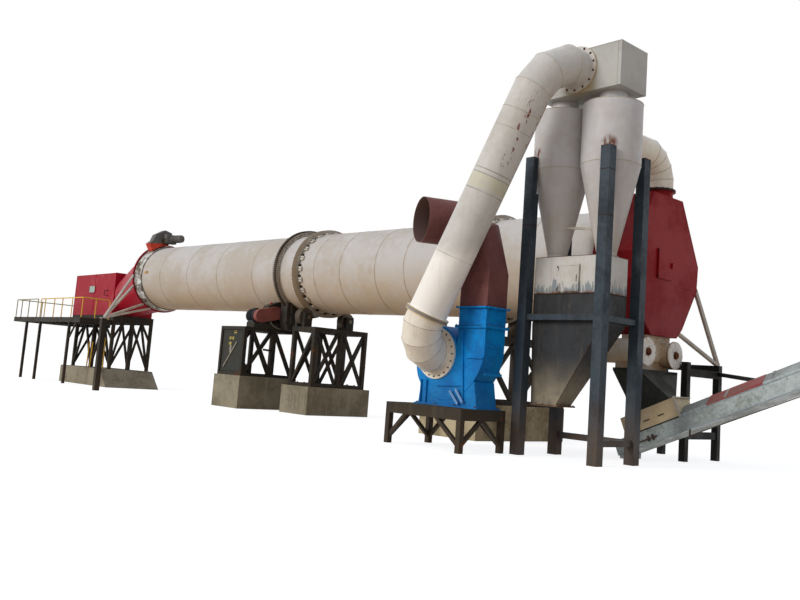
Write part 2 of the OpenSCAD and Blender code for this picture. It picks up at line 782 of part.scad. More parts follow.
module cyclone_1() cyclone(cyclone_x[0]);
module cyclone_2() cyclone(cyclone_x[1]);

tower_beam_z = [2550, 2650];
tower_beam_w = 100;
column_top = 5740;

module tower_frame() {
    w = tower_beam_w / 2;
    color(column_grey) difference() {
        union() {
            for (x = column_x) for (y = column_y) post(x, y, 0, column_top, column_w);
            for (y = column_y) box([column_x[0], y - w, tower_beam_z[0]], [column_x[1], y + w, tower_beam_z[1]]);
            for (x = column_x) box([x - w, column_y[0], tower_beam_z[0]], [x + w, column_y[1], tower_beam_z[1]]);
            box([column_x[0], column_y[1] - w, 330], [column_x[1], column_y[1] + w, 450]);
            box([column_x[1] - w, column_y[0], 330], [column_x[1] + w, column_y[1], 450]);
        }
        for (x = cyclone_x) translate([x, cyclone_y, cyclone_z[1] - 500])
            cylinder(r = cyclone_r, h = 1500, $fn = 96);
    }
}

dust_x = [10320, 11900];
dust_y = [-2960, -2220];
dust_door = [10880, dust_y[0] - door_t - door_face_gap, 3090];
dust_door_size = [490, 520];

module dust_box() {
    color([0.80, 0.78, 0.74]) union() {
        difference() {
            box([dust_x[0], dust_y[0], dust_z[1]], [dust_x[1], dust_y[1], dust_z[2]]);
            translate(dust_door) door_opening(dust_door_size[0], dust_door_size[1]);
        }
        translate(dust_door) door_lugs(dust_door_size[1]);
    }
}

module dust_box_door() {
    color([0.80, 0.78, 0.74]) translate(dust_door) pin_door(dust_door_size[0], dust_door_size[1]);
}

hopper_low = [10300, 10900, -2850, -2400, 980];

module dust_hopper() {
    color([0.27, 0.28, 0.30]) difference() {
        union() {
            box([dust_x[0], dust_y[0], dust_z[0]], [dust_x[1], dust_y[1], dust_z[1]]);
            tapered_box(hopper_low, [dust_x[0], dust_x[1], dust_y[0], dust_y[1], dust_z[0]]);
            box([hopper_low[0] - 60, hopper_low[2] - 60, 950], [hopper_low[1] + 60, hopper_low[3] + 60, 981]);
            box([column_x[0] - 50, column_y[0] - 50, tower_beam_z[1]],
                [dust_x[1] + 80, column_y[1] + 50, tower_beam_z[1] + 15]);
        }
        box([hopper_low[0] + 60, hopper_low[2] + 60, 900], [hopper_low[1] - 60, hopper_low[3] - 60, 1250]);
        for (x = column_x) for (y = column_y) post(x, y, 2600, 2700, column_w);
    }
}

// ---------------------------------------------------------------- discharge end

hood_outline = [[-500, 2510], [500, 2510], [720, 2710], [1270, 3580], [1310, 4120], [570, 5460],
    [-570, 5460], [-1310, 4120], [-1270, 3580], [-720, 2710]];
hood_door_at = [hood_x[1] + door_t + door_face_gap, -350, 3690];
hood_door_size = [570, 620];
neck_c = [11050, 150];
neck_r = 300;
neck_z = 5650;
collar_x = 10430;

module discharge_hood() {
    color(machine_red) union() {
        difference() {
            along_x(hood_x[0], hood_x[1]) polygon(hood_outline);
            translate(hood_door_at) rotate([0, 0, 90]) door_opening(hood_door_size[0], hood_door_size[1]);
        }
        translate(hood_door_at) rotate([0, 0, 90]) door_lugs(hood_door_size[1]);
        difference() {
            on_axis(collar_x) ring(1262, 1230, 300, 128);
            box([hood_x[0] + 1, -2000, 2000], [hood_x[1], 2000, 6000]);
        }
        translate([neck_c[0], neck_c[1], hood_outline[5][1] - 1])
            cylinder(r = neck_r, h = neck_z - hood_outline[5][1] + 1, $fn = 64);
        translate([neck_c[0], neck_c[1], neck_z - 50]) cylinder(r = neck_r + 50, h = 50, $fn = 64);
    }
}

module hood_door() {
    color(machine_red) translate(hood_door_at) rotate([0, 0, 90]) pin_door(hood_door_size[0], hood_door_size[1]);
}

header_z = [6180, 6660];
header_x = [10500, 11450];
header_y = -1400;

module hood_elbow() {
    start = [neck_c[0], neck_c[1], neck_z];
    rise = bend(start + [0, 0, 100], [0, 0, 1], [0, -1, 0], 620, 4);
    end = rise[len(rise) - 1];
    color(cream) difference() {
        union() {
            pipe(concat([start], rise, [[end[0], header_y - 10, end[2]]]), neck_r);
            box([header_x[0], -2100, header_z[0]], [header_x[1], header_y, header_z[1]]);
        }
        for (x = cyclone_x) translate([x, cyclone_y, 6000]) cylinder(r = cyclone_r, h = 800, $fn = 96);
    }
}

screw_yz = [[-790, 2150], [260, 2140]];
screw_r = 255;
screw_x = [10450, 11480];

module screw_conveyors() {
    color(cream) union() {
        for (c = screw_yz) {
            rod([screw_x[0], c[0], c[1]], [screw_x[1], c[0], c[1]], screw_r, 48);
            rod([screw_x[1] - 1, c[0], c[1]], [screw_x[1] + 40, c[0], c[1]], 285, 48);
            rod([screw_x[1] + 39, c[0], c[1]], [screw_x[1] + 80, c[0], c[1]], 60, 24);
        }
        box([10650, screw_yz[0][0], 1980], [11300, screw_yz[1][0], 2330]);
        box([10700, -480, 2329], [11250, 480, hood_outline[0][1]]);
        box([10850, -900, 1800], [11250, 380, 1981]);
    }
}

belt_foot = [10950, -800, 47];
belt_w = 600;
belt_h = 293;
inlet_len = [300, 1550];
inlet_h = 385;
cover_h = 210;

// The conveyor's own frame: X runs up its slope, Y across and Z square to it
module on_belt() translate(belt_foot) rotate([0, -belt_rise, 0]) children();

module discharge_hopper() {
    color([0.12, 0.12, 0.12]) difference() {
        union() {
            tapered_box([11150, 12040, -760, -580, 800], [11030, 12040, -770, -570, 1251]);
            tapered_box([11030, 12040, -770, -570, 1250], [10815, 11450, -930, 490, 1750]);
            box([10815, -930, 1749], [11450, 490, 1800]);
        }
        on_belt() translate([-500, -100, -600]) cube([3000, belt_w + 200, 600 + belt_h + inlet_h]);
    }
}

hood_post_y = [490, 1830];
hood_post_x = [10350, 11640];

// Where the stay from the far post reaches the side of the belt's trough
belt_stay_end = [13950, -150, 1660];

module hood_frame() {
    w = 140;
    color([0.08, 0.08, 0.08]) union() {
        for (x = hood_post_x) for (y = hood_post_y) post(x, y, 0, 2030, w);
        for (x = hood_post_x) {
            box([x - w / 2, hood_post_y[0], 1740], [x + w / 2, hood_post_y[1], 1900]);
            box([x - 50, hood_post_y[0], 450], [x + 50, hood_post_y[1], 600]);
        }
        box([hood_post_x[0], hood_post_y[0] - 50, 450], [hood_post_x[1], hood_post_y[0] + 50, 600]);
        box([hood_post_x[0], hood_post_y[1] - w / 2, 1900], [hood_post_x[1], hood_post_y[1] + w / 2, 2030]);
        bar([hood_post_x[1], hood_post_y[1], 1850], belt_stay_end, 80, 80);
    }
}

module hood_struts() {
    front = [hood_post_x[1], hood_post_y[1], 2030];
    back = [hood_post_x[0], hood_post_y[1], 2030];
    color(cream) difference() {
        union() {
            bar(front, [11340, 1250, 3700], 90, 60);
            bar(front, [11340, 600, 2640], 90, 60);
            bar(back, [10650, 1250, 3700], 90, 60);
        }
        along_x(hood_x[0] - 500, hood_x[1] + 500) polygon(hood_outline);
        box([10000, 0, 1500], [12500, 2500, 2030]);
    }
}

module belt_conveyor() {
    color(galvanised) union() {
        on_belt() {
            cube([belt_len, belt_w, belt_h]);
            translate([inlet_len[1], 0, belt_h - 1]) rotate([90, 0, 90])
                linear_extrude(belt_len - inlet_len[1])
                    polygon([[0, 0], [belt_w, 0], [belt_w, 40], [belt_w / 2, cover_h], [0, 40]]);
        }
        for (y = [60, belt_w - 60]) {
            translate([17200 - 50, belt_foot[1] + y - 50, 0]) cube([100, 100, 2800]);
            translate([belt_foot[0] + 30, belt_foot[1] + y - 50, 0]) cube([120, 100, 120]);
        }
        translate([17170, belt_foot[1] + 60, 900]) cube([60, belt_w - 120, 80]);
    }
}

module belt_inlet() {
    color([0.78, 0.70, 0.56]) on_belt() translate([inlet_len[0], 0, belt_h])
        cube([inlet_len[1] - inlet_len[0], belt_w, inlet_h]);
}

feed_foundation();
feed_frame();
feed_box();
feed_transition();
feed_flange();
feed_seal();
strut_post();
feed_struts();
walkway();
handrail();
feeder_hood();
feeder_chute();
feeder_motor();
drum_shell_feed();
drum_shell_middle();
drum_shell_outlet();
girth_gear();
riding_rings();
drive_foundation();
drive_frame();
drive_motor();
belt_guard();
pinion_housing();
pinion();
roller_foundation_1();
roller_foundation_2();
roller_frame_1();
roller_frame_2();
roller_1();
roller_2();
roller_3();
roller_4();
fan_frame();
fan_housing();
stack_riser();
stack_mouth();
fan_elbow();
suction_duct();
top_elbow();
plenum();
cyclone_1();
cyclone_2();
tower_frame();
dust_box();
dust_box_door();
dust_hopper();
discharge_hood();
hood_door();
hood_elbow();
screw_conveyors();
discharge_hopper();
hood_frame();
hood_struts();
belt_conveyor();
belt_inlet();
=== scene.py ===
import bpy
import numpy as np
from mathutils import Matrix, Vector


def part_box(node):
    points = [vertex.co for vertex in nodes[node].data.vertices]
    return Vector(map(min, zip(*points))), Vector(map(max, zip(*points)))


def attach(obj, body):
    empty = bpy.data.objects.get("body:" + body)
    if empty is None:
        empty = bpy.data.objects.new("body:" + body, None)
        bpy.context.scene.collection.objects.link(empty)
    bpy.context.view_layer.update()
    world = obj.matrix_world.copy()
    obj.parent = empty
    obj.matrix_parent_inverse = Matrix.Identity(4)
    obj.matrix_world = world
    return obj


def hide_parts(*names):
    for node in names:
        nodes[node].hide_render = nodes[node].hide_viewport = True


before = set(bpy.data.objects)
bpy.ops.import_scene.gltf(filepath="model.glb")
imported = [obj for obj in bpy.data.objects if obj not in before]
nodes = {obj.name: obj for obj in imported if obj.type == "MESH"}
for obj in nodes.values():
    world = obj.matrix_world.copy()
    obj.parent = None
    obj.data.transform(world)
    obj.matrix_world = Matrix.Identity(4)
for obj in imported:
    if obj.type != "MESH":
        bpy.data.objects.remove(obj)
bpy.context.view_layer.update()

# ---------------------------------------------------------------- foundations
# Concrete plinths cast on site under the feed box, the drive and the two roller stations.
# Rough grey-tan concrete with darker damp patches and a paler skin of cement.


def srgb(colour):
    """Red, green and blue from 0 to 255 as linear light: each is (c / 255) to the power 2.2.
    Sockets, and colours that are linear already, pass through."""
    if isinstance(colour, tuple) and len(colour) == 3:
        return tuple((np.array(colour) / 255) ** 2.2) + (1.0,)
    return colour


def feed(tree, slot, value):
    """Links a socket to an input, or sets the input's own value when it is given a plain one."""
    if isinstance(value, bpy.types.NodeSocket):
        tree.links.new(value, slot)
    else:
        slot.default_value = value


def math_node(tree, operation, first, second=0.0, clamp=False):
    """A Math node on two values or sockets: returns its output."""
    node = tree.nodes.new("ShaderNodeMath")
    node.operation = operation
    node.use_clamp = clamp
    feed(tree, node.inputs[0], first)
    feed(tree, node.inputs[1], second)
    return node.outputs[0]


def plus(tree, first, second):
    """First plus second."""
    return math_node(tree, "ADD", first, second)


def minus(tree, first, second):
    """First less second."""
    return math_node(tree, "SUBTRACT", first, second)


def times(tree, *values):
    """All the values multiplied together, from the left."""
    product = values[0]
    for value in values[1:]:
        product = math_node(tree, "MULTIPLY", product, value)
    return product


def span_node(tree, value, low, high, to_low=0.0, to_high=1.0):
    """A Map Range node: value from low..high to to_low..to_high, clamped, with an eased ramp."""
    node = tree.nodes.new("ShaderNodeMapRange")
    node.interpolation_type = "SMOOTHSTEP"
    for key, given in (("Value", value), ("From Min", low), ("From Max", high),
                       ("To Min", to_low), ("To Max", to_high)):
        feed(tree, node.inputs[key], given)
    return node.outputs[0]


def mixed(tree, factor, first, second):
    """A colour mix: first at factor 0, second at factor 1."""
    node = tree.nodes.new("ShaderNodeMix")
    node.data_type = "RGBA"
    factor_slot, first_slot, second_slot, mixed_colour = 0, 6, 7, 2
    feed(tree, node.inputs[factor_slot], factor)
    feed(tree, node.inputs[first_slot], srgb(first))
    feed(tree, node.inputs[second_slot], srgb(second))
    return node.outputs[mixed_colour]


def object_place(tree, stretch=None):
    """Object coordinates, stretched by a Mapping node when three scales are given."""
    place = tree.nodes.new("ShaderNodeTexCoord").outputs["Object"]
    if stretch is None:
        return place
    mapping = tree.nodes.new("ShaderNodeMapping")
    mapping.inputs["Scale"].default_value = stretch
    tree.links.new(place, mapping.inputs["Vector"])
    return mapping.outputs["Vector"]


def place_parts(tree, place=None):
    """A place, or the object coordinates, taken apart into X, Y and Z."""
    parts = tree.nodes.new("ShaderNodeSeparateXYZ")
    tree.links.new(place or object_place(tree), parts.inputs[0])
    return parts.outputs


def noise(tree, scale, detail=4.0, roughness=0.55, stretch=None):
    """A noise texture read at the object coordinates, stretched when three scales are given."""
    node = tree.nodes.new("ShaderNodeTexNoise")
    node.inputs["Detail"].default_value = detail
    node.inputs["Roughness"].default_value = roughness
    tree.links.new(object_place(tree, stretch), node.inputs["Vector"])
    feed(tree, node.inputs["Scale"], scale)
    return node.outputs["Fac"]


COLOUR, NUMBER = "NodeSocketColor", "NodeSocketFloat"


def new_effect(name, *inputs):
    """A shader group that takes Colour and the given sockets, and gives Colour and Mask.
    Returns the tree, what comes in and where the results go."""
    tree = bpy.data.node_groups.new(name, "ShaderNodeTree")
    for socket, kind, value in (("Colour", COLOUR, (0.5, 0.5, 0.5, 1)), *inputs):
        tree.interface.new_socket(socket, in_out="INPUT", socket_type=kind).default_value = value
    for socket, kind in (("Colour", COLOUR), ("Mask", NUMBER)):
        tree.interface.new_socket(socket, in_out="OUTPUT", socket_type=kind)
    return tree, tree.nodes.new("NodeGroupInput").outputs, tree.nodes.new("NodeGroupOutput").inputs


def wire(tree, *pairs):
    """Links pairs of (output socket, input socket)."""
    for out_socket, in_socket in pairs:
        tree.links.new(out_socket, in_socket)


def blotch_effect():
    """Broad uneven patches with a finer grain on top: two noises added, then eased into a mask."""
    tree, given, made = new_effect("blotches", ("Patch Colour", COLOUR, (0.4, 0.4, 0.4, 1)),
                                   ("Scale", NUMBER, 2.0), ("Amount", NUMBER, 0.5))
    broad = noise(tree, given["Scale"], 5.0, 0.6)
    fine = noise(tree, times(tree, given["Scale"], 9.0), 3.0)
    mask = span_node(tree, plus(tree, times(tree, broad, 0.75), times(tree, fine, 0.25)), 0.40, 0.62)
    patchy = mixed(tree, times(tree, mask, given["Amount"]), given["Colour"], given["Patch Colour"])
    wire(tree, (patchy, made["Colour"]), (mask, made["Mask"]))
    return tree


def rust_effect():
    """Rust spots: a coarse noise says where, a fine one breaks up the edge, and Cover sets the threshold."""
    tree, given, made = new_effect("rust", ("Scale", NUMBER, 6.0), ("Cover", NUMBER, 0.1))
    where = noise(tree, given["Scale"], 4.0, 0.65)
    edge = noise(tree, times(tree, given["Scale"], 6.0), 4.0)
    level = plus(tree, times(tree, where, 0.8), times(tree, edge, 0.2))
    start = minus(tree, 0.74, times(tree, given["Cover"], 0.3))
    mask = span_node(tree, level, start, plus(tree, start, 0.05))
    brown = mixed(tree, edge, (74, 44, 30), (128, 78, 46))
    wire(tree, (mixed(tree, mask, given["Colour"], brown), made["Colour"]), (mask, made["Mask"]))
    return tree


def run_effect():
    """Marks that rain draws down a wall: tall noise eased into a mask, laid in by mask * Cover."""
    tree, given, made = new_effect("runs", ("Run Colour", COLOUR, (0.2, 0.18, 0.15, 1)),
                                   ("Cover", NUMBER, 0.3))
    mask = span_node(tree, noise(tree, 1.0, 5.0, 0.6, (9.0, 9.0, 0.7)), 0.50, 0.75)
    streaked = mixed(tree, times(tree, mask, given["Cover"]), given["Colour"], given["Run Colour"])
    wire(tree, (streaked, made["Colour"]), (mask, made["Mask"]))
    return tree


def band_effect():
    """A colour laid in between two heights: all at Full, none at Clear, eased between and broken by noise."""
    tree, given, made = new_effect("height band", ("Band Colour", COLOUR, (0.2, 0.18, 0.15, 1)),
                                   ("Clear", NUMBER, 1.0), ("Full", NUMBER, 0.0), ("Amount", NUMBER, 0.5))
    high = span_node(tree, place_parts(tree)["Z"], given["Clear"], given["Full"])
    broken = span_node(tree, noise(tree, 3.0, 5.0, 0.65), 0.3, 0.65, 0.55, 1.0)
    share = times(tree, high, broken, given["Amount"])
    wire(tree, (mixed(tree, share, given["Colour"], given["Band Colour"]), made["Colour"]),
         (share, made["Mask"]))
    return tree


EFFECTS = {"blotches": blotch_effect(), "rust": rust_effect(), "runs": run_effect(), "band": band_effect()}


def put_effect(tree, name, colour, **values):
    """Places an effect group after a colour: returns its colour and its mask."""
    node = tree.nodes.new("ShaderNodeGroup")
    node.node_tree = EFFECTS[name]
    for key, value in dict(values, Colour=colour).items():
        feed(tree, node.inputs[key.replace("_", " ")], srgb(value))
    return node.outputs["Colour"], node.outputs["Mask"]


def finish(name, colour, patch, scale=1.2, amount=0.5, rust=0.0, rust_scale=5.0, runs=0.0,
           run_colour=(92, 80, 66), band=None, rough=(0.45, 0.7), metal=0.0, grain=60.0, relief=0.12,
           extra=None):
    """A weathered surface: colour, patches, rain runs, a height band and rust, with a fine relief.
    Roughness = the patches' mask from rough's low to its high, and at least 0.85 * the rust's mask."""
    material = bpy.data.materials.new(name)
    material.use_nodes = True
    tree = material.node_tree
    shader = tree.nodes["Principled BSDF"]
    colour, patches = put_effect(tree, "blotches", colour, Patch_Colour=patch, Scale=scale, Amount=amount)
    if extra:
        colour = extra(tree, colour)
    if runs:
        colour, _ = put_effect(tree, "runs", colour, Run_Colour=run_colour, Cover=runs)
    if band:
        clear, full, shade, share = band
        colour, _ = put_effect(tree, "band", colour, Band_Colour=shade, Clear=clear, Full=full, Amount=share)
    roughness = span_node(tree, patches, 0.0, 1.0, *rough)
    height = noise(tree, grain, 4.0)
    if rust:
        colour, spots = put_effect(tree, "rust", colour, Scale=rust_scale, Cover=rust)
        roughness = math_node(tree, "MAXIMUM", roughness, times(tree, spots, 0.85))
        height = plus(tree, height, times(tree, spots, 0.6))
    bump = tree.nodes.new("ShaderNodeBump")
    bump.inputs["Strength"].default_value = relief
    bump.inputs["Distance"].default_value = 0.004
    wire(tree, (colour, shader.inputs["Base Color"]), (roughness, shader.inputs["Roughness"]),
         (height, bump.inputs["Height"]), (bump.outputs["Normal"], shader.inputs["Normal"]))
    shader.inputs["Metallic"].default_value = metal
    shader.inputs["Specular IOR Level"].default_value = 0.14
    return material


def coat(material, *names):
    """Gives CAD nodes a material in their one slot."""
    for name in names:
        nodes[name].data.materials.clear()
        nodes[name].data.materials.append(material)


concrete = finish("concrete", (150, 142, 122), (112, 104, 86), scale=1.1, amount=0.75, runs=0.35,
                  run_colour=(168, 160, 142), rough=(0.85, 0.95), grain=28.0, relief=0.5)
coat(concrete, "feed_foundation", "drive_foundation", "roller_foundation_1")
pale_concrete = finish("pale concrete", (190, 176, 144), (132, 120, 94), scale=1.7, amount=0.9, runs=0.3,
                       run_colour=(206, 194, 164), rough=(0.85, 0.95), grain=28.0, relief=0.5)
coat(pale_concrete, "roller_foundation_2")

# ---------------------------------------------------------------- feed frame, walkway and ladder
# Square hollow sections welded into a braced stand, with a chequer-plate walkway on posts.
# Brown-black primer with rust at the joints; two pairs of yellow ladder rails stand under the walkway.

dark_steel = finish("dark steel", (44, 42, 38), (66, 58, 48), scale=2.6, amount=0.6, rust=0.42,
                    rust_scale=2.4, runs=0.3, run_colour=(104, 92, 76), band=(1.4, 0.0, (96, 78, 58), 0.35),
                    rough=(0.5, 0.75), relief=0.2)
coat(dark_steel, "feed_frame", "walkway", "strut_post")


def piece(name, body, material, verts, faces, *, cad_slot, smooth=False):
    """A detail piece from its corners and faces: it rides on a body. Its cad_slot is not used."""
    mesh = bpy.data.meshes.new(name)
    mesh.from_pydata(np.asarray(verts, float).reshape(-1, 3).tolist(), [], [list(map(int, f)) for f in faces])
    mesh.materials.append(material)
    mesh.polygons.foreach_set("use_smooth", np.full(len(mesh.polygons), smooth))
    mesh.update()
    made = bpy.data.objects.new(name, mesh)
    bpy.context.scene.collection.objects.link(made)
    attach(made, body)
    return made


def repeated(one, count, corners):
    """The face lists of one shape repeated for count shapes with the same number of corners."""
    return [np.asarray(face) + corners * i for i in range(count) for face in one]


def unit(vectors):
    """Vectors divided by their lengths, along the last axis."""
    return vectors / np.linalg.norm(vectors, axis=-1, keepdims=True)


def points(x, y, z):
    """Points from three coordinates, each a number or a list."""
    return np.stack(np.broadcast_arrays(*(np.asarray(a, float) for a in (x, y, z))), -1)


def bars(starts, ends, width, depth, up=(0, 0, 1), cut=0.12):
    """Straight bars, all at once: a rectangle with cut corners, carried from each start to its end.
    Side = up x along, top = along x side, corner = start or end + x * side + y * top."""
    starts, ends = (np.atleast_2d(np.array(p, float)) for p in (starts, ends))
    along = unit(ends - starts)
    side = unit(np.cross(np.broadcast_to(np.array(up, float), along.shape), along))
    top = np.cross(along, side)
    w, d, c = width / 2, depth / 2, cut * min(width, depth)
    x = np.array([w, w, w - c, c - w, -w, -w, c - w, w - c])
    y = np.array([c - d, d - c, d, d, d - c, c - d, -d, -d])
    ring = side[:, None] * x[None, :, None] + top[:, None] * y[None, :, None]
    verts = np.concatenate([starts[:, None] + ring, ends[:, None] + ring], axis=1)
    turn = np.arange(8)
    one = [(j, (j + 1) % 8, 8 + (j + 1) % 8, 8 + j) for j in turn] + [turn[::-1], turn + 8]
    return verts, repeated(one, len(starts), 16)


ladder_feet = points([-14.62, -14.30, -13.36, -13.05], -0.99, 0.72)
ladder_tops = points([-14.57, -14.25, -13.42, -13.11], -0.99, [1.75, 1.75, 1.95, 1.95])
yellow_paint = finish("yellow paint", (196, 150, 40), (150, 118, 44), scale=3.0, amount=0.6, rust=0.35,
                      rust_scale=9.0, rough=(0.4, 0.6))
piece("ladder_rails", "plant", yellow_paint, *bars(ladder_feet, ladder_tops, 0.07, 0.03, up=(0, 1, 0)),
      cad_slot="yellow_paint")

plate_x = np.arange(-20.2, -12.95, 0.6)
piece("walkway_plate_joints", "plant", dark_steel,
      *bars(points(plate_x, -2.19, 2.661), points(plate_x, -0.885, 2.661), 0.03, 0.004),
      cad_slot="dark_steel")


def fade_by_x(clear_x, full_x, shade):
    """Paint that has faded towards one end: shade mixed in by the place along X."""
    def laid(tree, colour):
        """The colour at clear_x, the shade at full_x, eased between."""
        return mixed(tree, span_node(tree, place_parts(tree)["X"], clear_x, full_x), colour, shade)
    return laid


rail_paint = finish("handrail paint", (236, 190, 70), (214, 168, 66), scale=4.0, amount=0.5, rust=0.3,
                    rust_scale=8.0, extra=fade_by_x(-17.4, -17.9, (150, 146, 100)), rough=(0.4, 0.6))
coat(rail_paint, "handrail")

# ---------------------------------------------------------------- feed box
# Insulated burner and feed housing of folded sheet, sprayed crimson, with a small pane and a pull handle.
# Flanged joints show as thin raised lines; the round transition and its flange carry on to the drum.


def even_angles(count, shift=0.0):
    """Angles evenly spread round a circle: 2 pi * (i + shift) / count."""
    return 2 * np.pi * (np.arange(count) + shift) / count


def joined(*shapes):
    """Several shapes as one: corners stacked, and each face list shifted by the corners before it."""
    counts = np.cumsum([0] + [len(np.reshape(v, (-1, 3))) for v, _ in shapes])
    verts = np.concatenate([np.reshape(v, (-1, 3)) for v, _ in shapes])
    return verts, [np.asarray(f) + start for (_, fs), start in zip(shapes, counts) for f in fs]


crimson = finish("crimson paint", (168, 30, 50), (152, 26, 40), scale=0.7, amount=0.6, rust=0.08,
                 rust_scale=7.0, runs=0.15, run_colour=(120, 40, 44), rough=(0.38, 0.5), relief=0.06)
coat(crimson, "feed_box", "feed_transition", "feed_flange")

box_x, box_side, box_z = (-16.965, -13.01), -0.873, (2.88, 4.61)
seam_x, seam = [-16.95, -14.99, -13.03], 0.03
piece("feed_box_seams", "plant", crimson, *joined(
    bars(points(seam_x, box_side - 0.004, box_z[0]), points(seam_x, box_side - 0.004, box_z[1]), seam, 0.012,
         up=(0, 1, 0)),
    bars(points(box_x[0], box_side - 0.004, [2.9, 4.59]), points(box_x[1], box_side - 0.004, [2.9, 4.59]),
         0.012, seam),
    bars(points(seam_x, box_side, 4.612), points(seam_x, -box_side, 4.612), seam, 0.012)),
    cad_slot="red_paint")

pane_x, pane_z = (-15.46, -14.91), (3.83, 4.12)
pane_glass = finish("pane glass", (160, 186, 176), (140, 168, 160), scale=5.0, amount=0.5,
                    rough=(0.08, 0.2), relief=0.03)
piece("feed_box_pane", "plant", pane_glass,
      *bars((pane_x[0], box_side - 0.01, sum(pane_z) / 2), (pane_x[1], box_side - 0.01, sum(pane_z) / 2),
            0.02, pane_z[1] - pane_z[0]), cad_slot="light_grey_paint")
piece("feed_box_pane_rim", "plant", crimson, *joined(
    bars(points(pane_x[0] - 0.02, box_side - 0.012, pane_z),
         points(pane_x[1] + 0.02, box_side - 0.012, pane_z), 0.03, 0.02),
    bars(points(pane_x, box_side - 0.012, pane_z[0]), points(pane_x, box_side - 0.012, pane_z[1]),
         0.02, 0.03, up=(0, 1, 0))), cad_slot="red_paint")


def pipe_run(path, radius, sides=12):
    """A round bar along a path: circles of points square to the mean direction at each corner.
    Ring i, point j = path i + r * (cos a_j * u_i + sin a_j * v_i), with u carried over from ring to ring."""
    path = np.array(path, float)
    step = unit(np.diff(path, axis=0))
    along = unit(np.concatenate([step[:1], step[:-1] + step[1:], step[-1:]]))
    first = np.cross(along[0], [0, 0, 1] if abs(along[0][2]) < 0.9 else [1, 0, 0])
    u = unit(first - along * np.sum(first * along, axis=1, keepdims=True))
    v = np.cross(along, u)
    angle = even_angles(sides)[None, :, None]
    rings = path[:, None] + radius * (u[:, None] * np.cos(angle) + v[:, None] * np.sin(angle))
    i, j = (a.ravel() for a in np.meshgrid(np.arange(len(path) - 1), np.arange(sides), indexing="ij"))
    k = (j + 1) % sides
    walls = np.stack([i * sides + j, i * sides + k, (i + 1) * sides + k, (i + 1) * sides + j], 1)
    start_cap = np.arange(sides)
    return rings, [*walls, start_cap[::-1], start_cap + (len(path) - 1) * sides]


handle_red = finish("handle red", (120, 30, 36), (96, 30, 34), scale=6.0, amount=0.5, rough=(0.35, 0.5))
handle_x = np.array([-13.62, -13.66, -13.80, -13.84, -13.80, -13.66, -13.62])
handle_out = np.array([0, 0.05, 0.07, 0.07, 0.07, 0.05, 0])
handle_z = np.array([3.90, 3.91, 3.89, 3.80, 3.70, 3.67, 3.67])
piece("feed_box_handle", "plant", handle_red,
      *pipe_run(points(handle_x, box_side - handle_out, handle_z), 0.018), smooth=True, cad_slot="red_paint")

# ---------------------------------------------------------------- feed seal, struts and feeder
# A ring of overlapping spring-steel scales closes the gap between the fixed flange and the turning drum.
# Rolled plate, bare and tarnished from bluish silver to tan; pale struts brace the flange to its post.

fall = np.radians(1.0)
drum_axis = np.array([np.cos(fall), 0.0, -np.sin(fall)])
drum_out = np.array([[0.0, 1.0, 0.0], [np.sin(fall), 0.0, np.cos(fall)]])
axis_height = 4.209
drum_zero = np.array([0, 0, axis_height])


def on_drum(s, radius, angle):
    """Points round the drum's axis: s along it, radius out from it, angle from the top towards +Y.
    Point = zero + s * axis + radius * (sin a * Y + cos a * the drum's upward way)."""
    s, radius, angle = np.split(points(s, radius, angle), 3, axis=-1)
    return drum_zero + s * drum_axis + radius * (np.sin(angle) * drum_out[0] + np.cos(angle) * drum_out[1])


def curved_slabs(s_span, angles, half, outer, thick, around=4, lean=0.0):
    """Curved plates on the drum's axis, all at once: a grid in angle and length, outer face and inner face.
    Radius = outer(s) + lean * t, with t from 0 to 1 across the plate, so that each laps over the next."""
    t = np.linspace(0, 1, around)
    angle = angles[:, None, None, None] + half * (2 * t - 1)[None, :, None, None]
    s = np.linspace(*s_span, 2)[None, None, :, None]
    skin = np.array([0.0, -thick])[None, None, None, :]
    radius = np.interp(s, s_span, outer) + lean * t[None, :, None, None] + skin
    verts = on_drum(s, radius, angle)
    n = np.arange(around * 4).reshape(around, 2, 2)

    def strip(*corners):
        """Faces from four equal grids of corner numbers."""
        return np.stack([c.ravel() for c in corners], 1)

    outside, inside, near, far = n[:, :, 0], n[:, :, 1], n[:, 0], n[:, 1]
    faces = [*strip(outside[:-1, 0], outside[:-1, 1], outside[1:, 1], outside[1:, 0]),
             *strip(inside[:-1, 0], inside[1:, 0], inside[1:, 1], inside[:-1, 1]),
             *strip(near[:-1, 0], near[1:, 0], near[1:, 1], near[:-1, 1]),
             *strip(far[:-1, 0], far[:-1, 1], far[1:, 1], far[1:, 0]),
             n[0, [0, 0, 1, 1], [0, 1, 1, 0]], n[-1, [0, 1, 1, 0], [0, 0, 1, 1]]]
    return verts, repeated(faces, len(angles), around * 4)


seal_count = 44
seal_steel = finish("seal steel", (216, 214, 208), (84, 70, 50), scale=3.6, amount=1.0, rust=0.2,
                    rough=(0.25, 0.5), metal=0.55, relief=0.08)
scales = piece("feed_seal_scales", "plant", seal_steel,
               *curved_slabs((-10.505, -10.035), even_angles(seal_count, 0.5), np.pi / seal_count * 1.12,
                             (1.278, 1.232), 0.006, lean=0.008),
               cad_slot="seal_steel")
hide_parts("feed_seal")
gasket = finish("seal gasket", (58, 52, 46), (84, 72, 58), scale=4.0, amount=0.6, rough=(0.8, 0.95))
piece("feed_seal_gasket", "plant", gasket,
      *curved_slabs((-10.5, -10.06), even_angles(32), np.pi / 32, (1.268, 1.222), 0.006),
      cad_slot="seal_steel")


def square_to(axes):
    """Two unit vectors square to each axis and to each other: u = helper x axis, v = axis x u.
    The helper is Z, or X where the axis is nearly upright."""
    helper = np.where(np.abs(axes[..., 2:]) < 0.9, [0.0, 0.0, 1.0], [1.0, 0.0, 0.0])
    u = unit(np.cross(helper, axes))
    return u, np.cross(axes, u)


